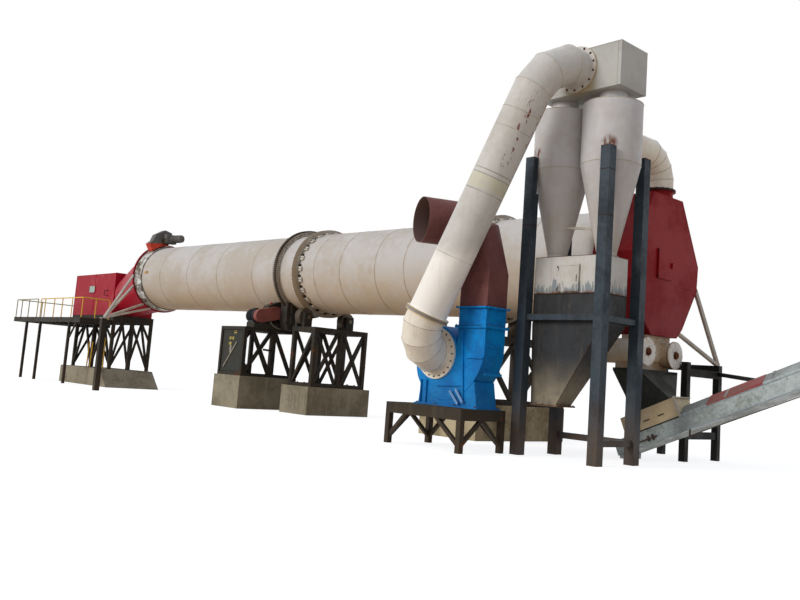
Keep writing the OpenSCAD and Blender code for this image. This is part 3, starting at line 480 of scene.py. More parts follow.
def studs(centres, axes, radius, height, sides=6):
    """Bolt heads, all at once: a hexagon ring at the foot, one near the top and a narrower one on top.
    Corner = centre + h * axis + r * (cos a * u + sin a * v), with u and v square to the axis."""
    centres = np.atleast_2d(np.array(centres, float))
    axes = unit(np.broadcast_to(np.array(axes, float), centres.shape))
    u, v = square_to(axes)
    angle = even_angles(sides)[None, :, None]
    circle = u[:, None] * np.cos(angle) + v[:, None] * np.sin(angle)
    rings = [centres[:, None] + axes[:, None] * h + circle * r
             for h, r in ((-0.2 * height, radius), (0.75 * height, radius), (height, 0.75 * radius))]
    turn = np.arange(sides)
    after = (turn + 1) % sides
    walls = np.concatenate([np.stack([turn, after, after + sides, turn + sides], 1) + k for k in (0, sides)])
    one = [*walls, turn[::-1], turn + 2 * sides]
    return np.concatenate(rings, axis=1), repeated(one, len(centres), 3 * sides)


dull_bolts = finish("dull bolts", (96, 88, 78), (70, 58, 46), scale=8.0, amount=0.7, rust=0.4,
                    rust_scale=20.0, metal=0.4)
piece("feed_flange_bolts", "plant", dull_bolts,
      *studs(on_drum(-10.504, 1.276, even_angles(48, 0.5)), drum_axis, 0.010, 0.010), cad_slot="cast_steel")

strut_paint = finish("strut paint", (196, 188, 176), (166, 154, 138), scale=2.5, amount=0.6, rust=0.18,
                     rust_scale=10.0, rough=(0.45, 0.65))
coat(strut_paint, "feed_struts", "hood_struts")
coat(finish("feeder grey", (108, 106, 102), (84, 80, 74), scale=2.0, amount=0.7, rust=0.12, rust_scale=6.0,
            rough=(0.5, 0.7)), "feeder_hood", "feeder_motor")
coat(finish("chute orange", (206, 74, 52), (178, 54, 40), scale=2.0, amount=0.6, rust=0.15,
            rough=(0.4, 0.6)), "feeder_chute")


def turned_ring(profile, centre, axis, count=64):
    """A closed outline of (s, r) points spun about an axis.
    Point = centre + s * axis + r * (cos a * u + sin a * v), with u and v square to the axis."""
    profile = np.array(profile, float)
    axis = unit(np.array(axis, float))
    u, v = square_to(axis)
    angle = even_angles(count)[None, :, None]
    s, r = profile[:, 0][:, None, None], profile[:, 1][:, None, None]
    verts = np.array(centre, float) + s * axis + r * (np.cos(angle) * u + np.sin(angle) * v)
    i, j = (a.ravel() for a in np.meshgrid(np.arange(len(profile)), np.arange(count), indexing="ij"))
    nxt, side = (i + 1) % len(profile), (j + 1) % count
    return verts, np.stack([i * count + j, nxt * count + j, nxt * count + side, i * count + side], 1)


def washer(s_span, radii, centre, axis, count=64):
    """A plain flat ring between two places on its axis and two radii."""
    (near, far), (inner, outer) = s_span, radii
    return turned_ring([(near, inner), (far, inner), (far, outer), (near, outer)], centre, axis, count)


def rim(s, radius, width, height):
    """The outline of a flat band standing proud of a cylinder, sunk 2 mm into it, for turned_ring."""
    w = width / 2
    return [(s - w, radius - 0.002), (s + w, radius - 0.002), (s + w, radius + height * 0.7),
            (s + w * 0.6, radius + height), (s - w * 0.6, radius + height), (s - w, radius + height * 0.7)]


# The bolted flange at the drum's mouth: a rolled red ring that stands proud of the seal.
piece("feed_flange_rim", "plant", crimson,
      *washer((-10.585, -10.530), (1.287, 1.334), drum_zero, drum_axis, 128), cad_slot="red_paint")

gear_mass = finish("oily brown", (70, 60, 48), (44, 38, 32), scale=5.0, amount=0.8, rust=0.3,
                   rough=(0.4, 0.7))
motor_mid, motor_way = np.array([-9.92, -0.22, 5.89]), unit(np.array([0.56, 0.16, 0.01]))
piece("feeder_gear_mass", "plant", gear_mass, *joined(
    bars((-10.118, -0.36, 5.80), (-9.93, -0.34, 5.80), 0.26, 0.22),
    washer((0.0, 0.05), (0.02, 0.150), motor_mid, motor_way, 32)),
    cad_slot="machine_grey")
fin_rings = [turned_ring(rim(s, 0.139, 0.016, 0.012), motor_mid, motor_way, 32)
             for s in np.arange(0.10, 0.52, 0.045)]
piece("feeder_motor_fins", "plant", nodes["feeder_motor"].data.materials[0], *joined(*fin_rings),
      cad_slot="machine_grey")

# ---------------------------------------------------------------- drum
# A shell of rolled plates butt-welded end to end, 2.4 m across, painted warm grey-beige.
# Each round weld shows as a low bead with a little rust; the underside is painted browner, as painted warm
# bounce light from the ground.


def weld_mask(places, half, lift):
    """Adds rust and dust beside the round welds at the given places along the drum: a ramp on |X - place|."""
    def laid(tree, colour):
        """The colour, with each place's share of rust = ramp * broken noise * lift."""
        along = place_parts(tree)["X"]
        broken = span_node(tree, noise(tree, 2.2, 5.0, 0.7), 0.42, 0.66)
        for place in places:
            away = math_node(tree, "ABSOLUTE", minus(tree, along, place))
            share = times(tree, span_node(tree, away, half, 0.0), broken, lift)
            colour = mixed(tree, share, colour, (150, 122, 88))
        return colour
    return laid


weld_s = (-8.6, -6.6, -4.6, -2.45, 0.80, 1.98, 3.48, 4.62, 8.6)
# The band from 4.5 m down to 3.0 m browns the drum's underside: painted warm bounce light from the ground.
drum_paint = finish("drum paint", (198, 193, 188), (184, 173, 158), scale=0.55, amount=0.8, rust=0.16,
                    rust_scale=1.5, runs=0.12, run_colour=(150, 130, 104),
                    band=(4.5, 3.0, (204, 178, 144), 0.75),
                    extra=weld_mask(weld_s, 0.05, 0.6), rough=(0.55, 0.7), grain=30.0, relief=0.15)
coat(drum_paint, "drum_shell_feed", "drum_shell_middle", "drum_shell_outlet")
weld_metal = finish("weld bead", (190, 180, 168), (168, 148, 122), scale=3.0, amount=0.9, rust=0.25,
                    rust_scale=6.0, band=(4.7, 3.1, (150, 124, 92), 0.7), rough=(0.6, 0.8))
piece("drum_weld_beads", "drum", weld_metal,
      *joined(*[turned_ring(rim(s, 1.2, 0.024, 0.005), drum_zero, drum_axis, 128) for s in weld_s]),
      smooth=True, cad_slot="drum_paint")

# A small tan inspection plate stands by the feed seal.
tan_plate = finish("tan plate", (190, 148, 88), (150, 108, 62), scale=9.0, amount=0.8, rust=0.4,
                   rough=(0.5, 0.7))
piece("drum_tan_plate", "drum", tan_plate,
      *curved_slabs((-9.84, -9.56), np.radians([-86.0]), np.radians(2.4), (1.208, 1.208), 0.014),
      cad_slot="drum_paint")

# ---------------------------------------------------------------- girth gear and riding rings
# Cast ring gear in spring plates, and two forged rings held by 24 pairs of pads with bolted wedges.
# Teeth and treads are dark bare steel; the sides, pads and plates carry the drum's paint, with rust lines.
# The wedges and a plate on the gear's web are near-black, as painted shade in the gaps.


def by_radius(inner, outer, shade):
    """A colour laid outside a radius from the drum's axis.
    Distance = the square root of Y squared plus (Z + X tan(fall) - height) squared."""
    def laid(tree, colour):
        """The colour up to the inner radius, the shade from the outer one, eased between."""
        place = place_parts(tree)
        rise = minus(tree, plus(tree, place["Z"], times(tree, place["X"], float(np.tan(fall)))), axis_height)
        squares = plus(tree, times(tree, rise, rise), times(tree, place["Y"], place["Y"]))
        away = math_node(tree, "SQRT", squares)
        return mixed(tree, span_node(tree, away, inner, outer), colour, shade)
    return laid


gear_paint = finish("gear steel", (182, 172, 158), (150, 134, 112), scale=2.0, amount=0.8, rust=0.2,
                    rust_scale=5.0, extra=by_radius(1.318, 1.330, (62, 52, 42)), rough=(0.45, 0.65))
coat(gear_paint, "girth_gear")
bare_gear = finish("pinion steel", (92, 80, 66), (58, 50, 42), scale=6.0, amount=0.8, rust=0.2, metal=0.5,
                   rough=(0.3, 0.5))
coat(bare_gear, "pinion")
ring_paint = finish("ring steel", (186, 178, 166), (160, 142, 118), scale=2.0, amount=0.8, rust=0.3,
                    rust_scale=4.0, extra=by_radius(1.327, 1.334, (112, 96, 78)),
                    band=(4.6, 3.0, (150, 126, 94), 0.55), rough=(0.45, 0.65))
coat(ring_paint, "riding_rings")

plate_angles = even_angles(24)
spring_paint = finish("spring plate paint", (190, 182, 170), (166, 150, 128), scale=2.5, amount=0.7,
                      rust=0.22, rust_scale=6.0, band=(4.6, 3.0, (150, 126, 94), 0.5), rough=(0.5, 0.7))
piece("gear_spring_plates", "drum", spring_paint, *joined(
    curved_slabs((-0.955, -0.928), plate_angles, np.radians(6.0), (1.296, 1.296), 0.085, around=5),
    curved_slabs((-0.928, -0.908), plate_angles + np.radians(7.5), np.radians(3.4), (1.262, 1.262), 0.058)),
    cad_slot="drum_paint")
# Near-black painted shade for the gaps: on a plate set against the gear's web and on the wedges between the
# pads.
painted_gap_shade = finish("painted gap shade", (58, 48, 40), (40, 34, 30), scale=5.0, amount=0.7, rough=(0.8, 0.95))
piece("gear_web_shadow_plate", "drum", painted_gap_shade,
      *washer((-0.960, -0.953), (1.203, 1.287), drum_zero, drum_axis, 96),
      cad_slot="cast_steel")
bolt_steel = finish("bolt steel", (70, 60, 50), (104, 76, 54), scale=12.0, amount=0.8, rust=0.45,
                    rust_scale=24.0, metal=0.4, rough=(0.45, 0.7))


def bolts(name, body, centres, axes, radius, height):
    """A piece of hexagon bolt heads in rusty steel."""
    piece(name, body, bolt_steel, *studs(centres, axes, radius, height), cad_slot="cast_steel")


piece("gear_bolts", "drum", bolt_steel, *joined(
    studs(on_drum(-0.928, 1.275, plate_angles + np.radians(3.0)), drum_axis, 0.016, 0.016),
    studs(on_drum(-0.928, 1.275, plate_angles - np.radians(3.0)), drum_axis, 0.016, 0.016)),
    cad_slot="cast_steel")

pad_angles = np.pi / 2 - even_angles(24)
for number, ring_s in enumerate((0.0, 6.9), 1):
    pad_paint = finish(f"ring {number} pad paint", (216, 212, 204), (186, 174, 158), scale=5.0, amount=0.6,
                       rust=0.24, rust_scale=11.0, rough=(0.5, 0.7))
    piece(f"ring_{number}_pads", "drum", pad_paint, *joined(*[
        curved_slabs((ring_s + a, ring_s + b), pad_angles, np.radians(2.75), (1.252, 1.252), 0.049, around=3)
        for a, b in ((0.098, 0.246), (-0.246, -0.098))]), cad_slot="drum_paint")
    between = pad_angles + np.radians(5.2)
    piece(f"ring_{number}_wedges", "drum", painted_gap_shade, *joined(*[
        curved_slabs((ring_s + a, ring_s + b), between, np.radians(1.15), (1.243, 1.243), 0.042, around=3)
        for a, b in ((0.09, 0.175), (-0.175, -0.09))]), cad_slot="cast_steel")
    pad_way = on_drum(0, 1, pad_angles) - drum_zero
    piece(f"ring_{number}_bolts", "drum", bolt_steel, *joined(*[
        studs(on_drum(ring_s + s, 1.2525, pad_angles), pad_way, 0.015, 0.014)
        for s in (0.14, 0.21, -0.14, -0.21)]), cad_slot="cast_steel")

# ---------------------------------------------------------------- drive station
# Motor, belt guard and gear case on a bed plate, over a braced frame of heavy channel.
# Motor dark grey with cooling fins, guard red-brown, case near-black; a panel closes the frame's end.

motor_grey = finish("motor grey", (62, 64, 68), (44, 44, 46), scale=4.0, amount=0.7, rust=0.12,
                    rough=(0.4, 0.6))
coat(motor_grey, "drive_motor")
coat(finish("guard brown", (150, 88, 80), (118, 70, 64), scale=3.0, amount=0.7, runs=0.25,
            run_colour=(120, 92, 80), rust=0.1, rough=(0.4, 0.6)), "belt_guard")
gear_case = finish("gear case black", (50, 48, 44), (72, 64, 54), scale=3.0, amount=0.6, rust=0.3,
                   rust_scale=4.0, runs=0.2, rough=(0.45, 0.7), relief=0.25)
coat(gear_case, "pinion_housing")
coat(dark_steel, "drive_frame")

motor_end, motor_r = (-1.70, -1.526, 2.782), 0.200
fin_at = np.arange(0.05, 0.30, 0.03)
piece("drive_motor_fins", "plant", motor_grey, *joined(*[
    turned_ring(rim(s, motor_r, 0.008, 0.012), motor_end, (1, 0, 0), 48) for s in fin_at]),
    cad_slot="machine_grey")
cowl = [(-0.022, 0.03), (0.03, 0.03), (0.03, 0.207), (-0.012, 0.207), (-0.022, 0.19)]
piece("drive_motor_cowl", "plant", motor_grey, *joined(
    turned_ring(cowl, motor_end, (1, 0, 0), 48),
    bars((-1.58, -1.526, 2.985), (-1.45, -1.526, 2.985), 0.12, 0.07)), cad_slot="machine_grey")

guard_face = -1.1605
guard_low, guard_high = np.array([-1.526, 2.782]), np.array([-0.979, 2.910])
guard_lean = np.arctan2(*(guard_high - guard_low)[::-1])
half_turn = np.pi * np.linspace(0, 1, 17)


def guard_loop(radius, x):
    """Points round the guard's long outline: half a circle about each pulley's centre."""
    low_half, high_half = guard_lean + np.pi * 0.5 + half_turn, guard_lean + np.pi * 1.5 + half_turn
    low = guard_low + radius * np.stack([np.cos(low_half), np.sin(low_half)], 1)
    high = guard_high + radius * np.stack([np.cos(high_half), np.sin(high_half)], 1)
    y, z = np.concatenate([low, high]).T
    return points(x, y, z)


def closed(loop):
    """A loop of points with its first point again at its end."""
    return np.concatenate([loop, loop[:1]])


piece("belt_guard_rim", "plant", nodes["belt_guard"].data.materials[0],
      *pipe_run(closed(guard_loop(0.192, guard_face + 0.002)), 0.010, 6), smooth=True, cad_slot="guard_paint")
bolts("belt_guard_bolts", "plant", guard_loop(0.165, guard_face)[2::5], (1, 0, 0), 0.011, 0.010)

cover_bolts = points(-0.80, [-0.84, -0.84, -0.84, -0.45, -0.45, -0.45], [2.70, 2.92, 3.14, 2.70, 2.92, 3.10])
bolts("gear_cover_bolts", "plant", cover_bolts, (1, 0, 0), 0.018, 0.016)
pale_band = finish("worn band", (104, 98, 88), (78, 72, 62), scale=6.0, amount=0.7, rough=(0.5, 0.7))
piece("gear_cover_split_flange", "plant", gear_case, *joined(
    bars((-0.797, -0.876, 2.90), (-0.797, -0.404, 2.90), 0.03, 0.04),
    bars((-1.20, -0.765, 3.285), (-1.20, -0.765, 2.60), 0.02, 0.03, up=(1, 0, 0))), cad_slot="dark_steel")
piece("gear_case_pale_edge", "plant", pale_band,
      *bars((-0.797, -0.72, 2.62), (-0.797, -0.72, 3.20), 0.006, 0.035, up=(0, 1, 0)), cad_slot="dark_steel")
red_dot = finish("red cap", (176, 40, 40), (140, 34, 34), scale=9.0, amount=0.5, rough=(0.35, 0.5))
piece("gear_case_oil_cap", "plant", red_dot,
      *studs((-1.45, -1.02, 3.195), (0, -0.35, 0.94), 0.035, 0.045, 12), cad_slot="red_paint")
pipe_grey = finish("pale pipe", (150, 144, 132), (112, 104, 92), scale=5.0, amount=0.6, rust=0.2,
                   rough=(0.4, 0.6))
oil_route = points([-1.19, -1.185, -1.18, -1.175, -1.175, -1.175], [-1.17, -1.13, -1.02, -0.90, -0.80, -0.34],
                   [2.64, 2.57, 2.50, 2.455, 2.445, 2.445])
piece("drive_oil_pipe", "plant", pipe_grey, *pipe_run(oil_route, 0.016), smooth=True, cad_slot="machine_grey")

panel_grey = finish("panel grey", (48, 50, 46), (64, 62, 54), scale=3.0, amount=0.7, runs=0.4,
                    rough=(0.5, 0.7))
panel_y = -2.012
piece("drive_frame_panel", "plant", panel_grey, *joined(
    bars((-2.40, panel_y, 1.69), (-1.31, panel_y, 1.69), 0.008, 1.24),
    bars(points(-2.36, panel_y - 0.006, [1.12, 2.26]),
         points(-1.35, panel_y - 0.006, [1.12, 2.26]), 0.012, 0.03)), cad_slot="dark_steel")
label_yellow = finish("label yellow", (186, 168, 86), (150, 134, 74), scale=8.0, amount=0.7, rough=(0.5, 0.7))
label_x, label_z = np.array([-1.73, -1.98, -1.83, -1.97]), [2.245, 2.06, 2.06, 1.90]
label_half = np.array([0.15, 0.10, 0.08, 0.12]) / 2
piece("drive_panel_labels", "plant", label_yellow, *bars(
    points(label_x - label_half, panel_y - 0.007, label_z),
    points(label_x + label_half, panel_y - 0.007, label_z), 0.006, 0.085), cad_slot="yellow_paint")
piece("drive_panel_stay", "plant", pipe_grey, *joined(
    bars((-1.60, panel_y - 0.02, 1.95), (-2.23, panel_y - 0.02, 1.20), 0.012, 0.05),
    bars((-1.93, panel_y - 0.009, 1.84), (-1.93, panel_y - 0.009, 1.62), 0.10, 0.008, up=(0, 1, 0))),
    cad_slot="machine_grey")
piece("drive_frame_tie", "plant", dark_steel, *bars((-1.25, -1.30, 1.78), (-1.25, -0.95, 1.76), 0.05, 0.06),
      cad_slot="dark_steel")

# ---------------------------------------------------------------- roller stations
# Cast rollers in pedestal bearings, on braced frames that are bolted to the concrete.
# Frames in brown-black primer; roller treads polished dark by the rings.

coat(dark_steel, "roller_frame_1", "roller_frame_2")
coat(finish("roller steel", (104, 94, 82), (72, 62, 52), scale=4.0, amount=0.8, rust=0.2, metal=0.35,
            rough=(0.35, 0.6)), "roller_1", "roller_2", "roller_3", "roller_4")
plinth_top = 0.9
for number in (1, 2):
    low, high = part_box(f"roller_frame_{number}")
    foot_x, foot_y = np.meshgrid(np.linspace(low.x + 0.06, high.x - 0.06, 4), [low.y + 0.06, high.y - 0.06])
    feet = points(foot_x.ravel(), foot_y.ravel(), plinth_top)
    bolts(f"roller_frame_{number}_anchors", "plant", feet, (0, 0, 1), 0.024, 0.03)

# ---------------------------------------------------------------- suction fan
# A centrifugal fan of welded plate with angle stiffeners, on a steel stand.
# Sprayed bright blue, dirtier at the foot; the flanges are bolted and the bolts have rusted.

coat(dark_steel, "fan_frame")
fan_blue = finish("fan blue", (22, 140, 214), (16, 100, 172), scale=1.6, amount=0.75, rust=0.06, runs=0.2,
                  run_colour=(60, 84, 104), band=(1.6, 0.8, (48, 74, 98), 0.4), rough=(0.32, 0.5),
                  relief=0.08)
coat(fan_blue, "fan_housing")
face_y, back_y = -4.0, -3.44
outlet = (9.36, 10.06)
piece("fan_ribs", "plant", fan_blue, *joined(
    bars(points([9.50, 9.64, 8.89], face_y - 0.012, [2.26, 1.745, 1.18]),
         points([9.61, 10.04, 9.58], face_y - 0.012, [0.95, 1.745, 1.22]), 0.024, 0.05, up=(0, 1, 0)),
    bars((9.45, face_y - 0.025, 2.345), (9.99, face_y - 0.025, 2.345), 0.05, 0.012),
    bars(points(outlet[1] + 0.008, -3.96, [1.98, 1.45]), points(outlet[1] + 0.008, -3.48, [1.98, 1.45]),
         0.016, 0.05),
    bars(points([8.47, 8.62], face_y - 0.02, 0.84), points([8.47, 8.62], face_y - 0.02, 1.28), 0.02, 0.04,
         up=(0, 1, 0)),
    bars(points([8.6, 9.5], back_y + 0.012, 1.0), points([8.6, 9.5], back_y + 0.012, 2.25), 0.05, 0.024,
         up=(0, 1, 0))), cad_slot="blue_paint")
angle_blue = finish("pale blue paint", (120, 160, 200), (84, 124, 170), scale=5.0, amount=0.6, rust=0.1)
piece("fan_foot_braces", "plant", angle_blue, *bars(
    points([9.29, 9.44], -4.06, [1.10, 1.14]), points([9.52, 9.64], -4.06, [0.86, 0.90]), 0.02, 0.05),
    cad_slot="blue_paint")
fan_x, fan_z = 8.83, 1.80
scroll_degrees = np.linspace(100, 350, 60)
scroll_radius = 0.546 + np.maximum(0, scroll_degrees - 195) * 0.0041
scroll_x = fan_x + scroll_radius * np.cos(np.radians(scroll_degrees))
scroll_z = fan_z + scroll_radius * np.sin(np.radians(scroll_degrees))
piece("fan_scroll_edge", "plant", fan_blue, *joined(*[
    pipe_run(points(scroll_x, y, scroll_z), 0.010, 8) for y in (face_y, back_y)]), smooth=True,
    cad_slot="blue_paint")


def edge_points(x_span, y_span, z, count):
    """Points along the four edges of a level rectangle, evenly spread."""
    x, y = np.linspace(*x_span, count), np.linspace(*y_span, count)
    return np.concatenate([points(x, y_span[0], z), points(x, y_span[1], z),
                           points(x_span[0], y, z), points(x_span[1], y, z)])


def round_outlet(margin, z, count):
    """Points along the edges of the fan's outlet, a margin outside it."""
    return edge_points((outlet[0] - margin, outlet[1] + margin), (face_y - margin, back_y + margin), z, count)


bolts("fan_flange_bolts", "plant", round_outlet(0.028, 2.36, 8), (0, 0, 1), 0.013, 0.016)
stack_corners = round_outlet(0.035, 2.70, 2)
piece("stack_foot_flange", "plant", fan_blue,
      *bars(stack_corners[[0, 2, 0, 1]], stack_corners[[1, 3, 2, 3]], 0.07, 0.03), cad_slot="blue_paint")
bolts("stack_foot_bolts", "plant", round_outlet(0.04, 2.716, 7), (0, 0, 1), 0.012, 0.014)
foot_bolts = [(x, y, 0.826) for x in (8.40, 8.9, 9.4, 9.94) for y in (-4.035, -3.40)]
bolts("fan_foot_bolts", "plant", foot_bolts, (0, 0, 1), 0.02, 0.022)

# ---------------------------------------------------------------- stack
# A square riser that turns round and leans over the drum, ending in an open mouth.
# Thin plate in dark maroon primer with faint rain marks, and grey soot inside the mouth.

maroon = finish("maroon primer", (122, 80, 76), (104, 66, 64), scale=1.2, amount=0.8, runs=0.2,
                run_colour=(112, 76, 70), rust=0.05, rough=(0.55, 0.7))
mouth_centre = np.array([8.550, -4.420, 4.420])
mouth_way = unit(np.array([390.0, 920.0, 0.0]))
mouth_wall = (0.456, 0.452)


def soot_inside(tree, colour):
    """Soot on the inside of the mouth's tube, where the radius is below the middle of its wall.
    Radius = the square root of Y squared plus Z squared, with X turned to run along the mouth."""
    mapping = tree.nodes.new("ShaderNodeMapping")
    mapping.vector_type = "TEXTURE"
    mapping.inputs["Location"].default_value = mouth_centre
    mapping.inputs["Rotation"].default_value = (0, 0, float(np.arctan2(mouth_way[1], mouth_way[0])))
    tree.links.new(object_place(tree), mapping.inputs["Vector"])
    place = place_parts(tree, mapping.outputs["Vector"])
    squares = plus(tree, times(tree, place["Y"], place["Y"]), times(tree, place["Z"], place["Z"]))
    away = math_node(tree, "SQRT", squares)
    return mixed(tree, span_node(tree, away, *mouth_wall), colour, (118, 96, 90))


coat(finish("mouth primer", (122, 80, 76), (104, 66, 64), scale=1.2, amount=0.8, rust=0.05, extra=soot_inside,
            rough=(0.55, 0.7)), "stack_mouth")
coat(maroon, "stack_riser")

# ---------------------------------------------------------------- suction duct
# Rolled tube in cream paint, cut and welded in mitred lengths, from the fan inlet up to the plenum.
# Bolted flanges with rusty heads, yellowed ring joints, dirt bands and scrapes down one side.

fan_eye = np.array([fan_x, face_y, fan_z])
duct_way = unit(np.array([365.0, 145.0, 920.0]))
duct_r, duct_len = 0.375, 4.17


def mitred_bend(start, way_in, way_out, radius, parts):
    """The corners of a mitred bend, the way along each straight part, and half of a part's length.
    Way = way in * cos a + (axis x way in) * sin a, and a part is 2 * radius * tan(angle / 2 parts) long."""
    angle = np.arccos(way_in @ way_out)
    axis = unit(np.cross(way_in, way_out))
    turn = angle * np.arange(parts + 1) / parts
    ways = way_in * np.cos(turn)[:, None] + np.cross(axis, way_in) * np.sin(turn)[:, None]
    half_part = radius * np.tan(angle / (2 * parts))
    walk = np.concatenate([[[0, 0, 0]], np.cumsum(ways[1:-1], axis=0)])
    return start + half_part * way_in + 2 * half_part * walk, ways, half_part


towards_front = np.array([0.0, -1.0, 0.0])
elbow_corners, elbow_ways, elbow_half = mitred_bend(fan_eye + 0.025 * towards_front, towards_front, duct_way,
                                                    0.610, 4)
low_end = elbow_corners[-1] + (elbow_half + 0.06) * duct_way
duct_top = low_end + duct_len * duct_way


def measured(tree, operation, vector):
    """A Vector Math node on the object coordinates and a fixed vector: their distance or dot product."""
    node = tree.nodes.new("ShaderNodeVectorMath")
    node.operation = operation
    node.inputs[1].default_value = tuple(vector)
    tree.links.new(object_place(tree), node.inputs[0])
    return node.outputs["Value"]


def dirt_rings(places, half, shade, share):
    """Rings of a shade round the duct, at places along it: a ramp on |distance - place|, broken by noise.
    Distance = (point - the duct's low end) . the duct's way."""
    def laid(tree, colour):
        """The colour, with each ring's share of the shade = ramp * broken noise * share."""
        distance = minus(tree, measured(tree, "DOT_PRODUCT", duct_way), float(low_end @ duct_way))
        broken = span_node(tree, noise(tree, 2.6, 4.0, 0.6), 0.30, 0.60, 0.25, 1.0)
        for place in places:
            off = math_node(tree, "ABSOLUTE", minus(tree, distance, place))
            mask = times(tree, span_node(tree, off, half, half * 0.7), broken, share)
            colour = mixed(tree, mask, colour, shade)
        return colour
    return laid


def duct_marks(tree, colour):
    """The duct's painted sunlight, whiter below a ragged line near 4 m; its yellow ring joint, its grey seam
    lines, and rust scrapes down the +X side near the top.
    """
    place = place_parts(tree)
    # Painted sunlight: the duct whitens below a ragged line that runs from 4.15 m down to 3.75 m.
    sun_edge_height = plus(tree, place["Z"], times(tree, noise(tree, 1.3), 0.5))
    colour = mixed(tree, span_node(tree, sun_edge_height, 4.15, 3.75), colour, (250, 244, 234))
    colour = dirt_rings((2.70,), 0.15, (206, 200, 170), 0.8)(tree, colour)
    colour = dirt_rings((2.52, 2.84, 2.93), 0.014, (150, 146, 132), 0.8)(tree, colour)
    colour = dirt_rings((1.20, 3.80), 0.010, (150, 140, 124), 0.6)(tree, colour)
    leaned = times(tree, minus(tree, place["Z"], float(low_end[2])), float(duct_way[0] / duct_way[2]))
    off_line = minus(tree, minus(tree, place["X"], leaned), float(low_end[0] + 0.345))
    near = span_node(tree, math_node(tree, "ABSOLUTE", off_line), 0.055, 0.02)
    high = times(tree, span_node(tree, place["Z"], 4.9, 5.5), span_node(tree, place["Z"], 6.75, 6.5))
    spots = span_node(tree, noise(tree, 2.2, 4.0, 0.6, (7.0, 7.0, 3.0)), 0.55, 0.60)
    return mixed(tree, times(tree, near, high, spots), colour, (122, 70, 56))


# The duct and its elbows wear one cream paint in two copies: the elbows' copy is lighter, as painted
# sunlight, and the duct's copy greyer, as painted shade.
cream = finish("cream paint", (244, 236, 220), (228, 216, 196), scale=1.4, amount=0.75, rust=0.14,
               rust_scale=4.0, runs=0.14, run_colour=(150, 140, 122), rough=(0.42, 0.6), relief=0.1)
duct_paint = finish("duct paint", (208, 204, 197), (194, 188, 178), scale=1.1, amount=0.75, rust=0.12,
                    rust_scale=3.6, runs=0.18, run_colour=(148, 142, 128), extra=duct_marks,
                    rough=(0.42, 0.6))
coat(cream, "fan_elbow", "hood_elbow")
coat(duct_paint, "suction_duct", "top_elbow")

mitre_line = finish("mitre weld", (196, 188, 174), (170, 156, 134), scale=6.0, amount=0.8, rust=0.3,
                    rust_scale=12.0, rough=(0.5, 0.7))


def mitre_beads(corners, ways, radius, bead, count=72):
    """Weld beads round mitred joints: a circle square to the pipe, slid along it onto the joint's plane.
    The plane's normal n is the sum of the two ways that meet there, and q = radius * (cos a * u + sin a * v).
    Point = corner + q + way * (-(q . n) / (way . n))."""
    shapes = []
    for corner, way, way_after in zip(corners, ways, ways[1:]):
        normal = way + way_after
        u = unit(np.cross(way, [0, 0, 1] if abs(way[2]) < 0.9 else [1, 0, 0]))
        v = np.cross(way, u)
        angle = even_angles(count)[:, None]
        q = radius * (np.cos(angle) * u + np.sin(angle) * v)
        line = corner + q - way * ((q @ normal) / (way @ normal))[:, None]
        shapes.append(pipe_run(closed(line), bead, 6))
    return joined(*shapes)


def upright_circle(centre, radius, count, shift=0.0):
    """Points round an upright circle that faces along Y: centre + radius * (cos a, 0, sin a)."""
    angle = even_angles(count, shift)
    return centre + radius * points(np.cos(angle), 0, np.sin(angle))


piece("fan_elbow_welds", "plant", mitre_line, *mitre_beads(elbow_corners, elbow_ways, duct_r, 0.006),
      smooth=True, cad_slot="cream_paint")
bolts("fan_inlet_bolts", "plant", upright_circle(fan_eye + [0, -0.04, 0], 0.45, 20), (0, -1, 0), 0.017, 0.02)
# The flange rims' orange-tan is their cream paint with a painted orange-yellow highlight of the sun.
highlit_flange_edge = finish("flange edge highlight", (208, 184, 136), (176, 138, 90), scale=6.0, amount=0.8, rust=0.3,
                     rust_scale=14.0, rough=(0.45, 0.65))
flange_grey = finish("flange side", (150, 146, 140), (122, 114, 104), scale=4.0, amount=0.7, rough=(0.5, 0.7))

rim_out = duct_r + 0.05
piece("low_flange_rims", "plant", highlit_flange_edge, *joined(*[
    turned_ring(rim(s, rim_out, 0.014, 0.012), low_end, duct_way, 72) for s in (-0.034, 0.034)]),
    cad_slot="cream_paint")
piece("low_flange_side", "plant", flange_grey,
      *turned_ring(rim(0, rim_out, 0.05, 0.003), low_end, duct_way, 72), cad_slot="light_grey_paint")

port = np.array([11.052, -2.936, 7.408])
rusty_hole = finish("rusty bolt hole", (62, 44, 34), (104, 66, 42), scale=14.0, amount=0.9, rough=(0.8, 0.95))
piece("port_flange_bolts", "plant", rusty_hole,
      *studs(upright_circle(port + [0, -0.05, 0], 0.417, 14, 0.5), (0, -1, 0), 0.024, 0.012, 8),
      cad_slot="cast_steel")
piece("port_flange_edge", "plant", highlit_flange_edge,
      *turned_ring(rim(0.02, 0.455, 0.02, 0.006), port, (0, -1, 0), 72), cad_slot="cream_paint")
high_path = np.array([duct_top, duct_top + 0.5 * duct_way, [10.960, -3.717, 7.169],
                      port + 0.33 * towards_front, port])
high_ways = unit(np.diff(high_path, axis=0))
piece("top_elbow_welds", "plant", mitre_line, *joined(
    mitre_beads(high_path[1:-1], high_ways, duct_r, 0.005),
    mitre_beads(high_path[:1], [duct_way, duct_way], duct_r, 0.006)), smooth=True, cad_slot="cream_paint")

# ---------------------------------------------------------------- plenum and cyclones
# A folded box over two cyclones that share it, of rolled plate with welded cones.
# Pale grey paint gone chalky, rust drips where the columns meet the shells, a yellow stain under the port.


def port_stain(tree, colour):
    """A yellow-brown stain below the port on the plenum's face: nearness to a point under the flange."""
    away = measured(tree, "DISTANCE", (11.20, -2.94, 7.02))
    broken = span_node(tree, noise(tree, 3.0, 5.0, 0.6), 0.35, 0.6, 0.3, 1.0)
    return mixed(tree, times(tree, span_node(tree, away, 0.42, 0.05), broken, 0.75), colour, (176, 150, 92))


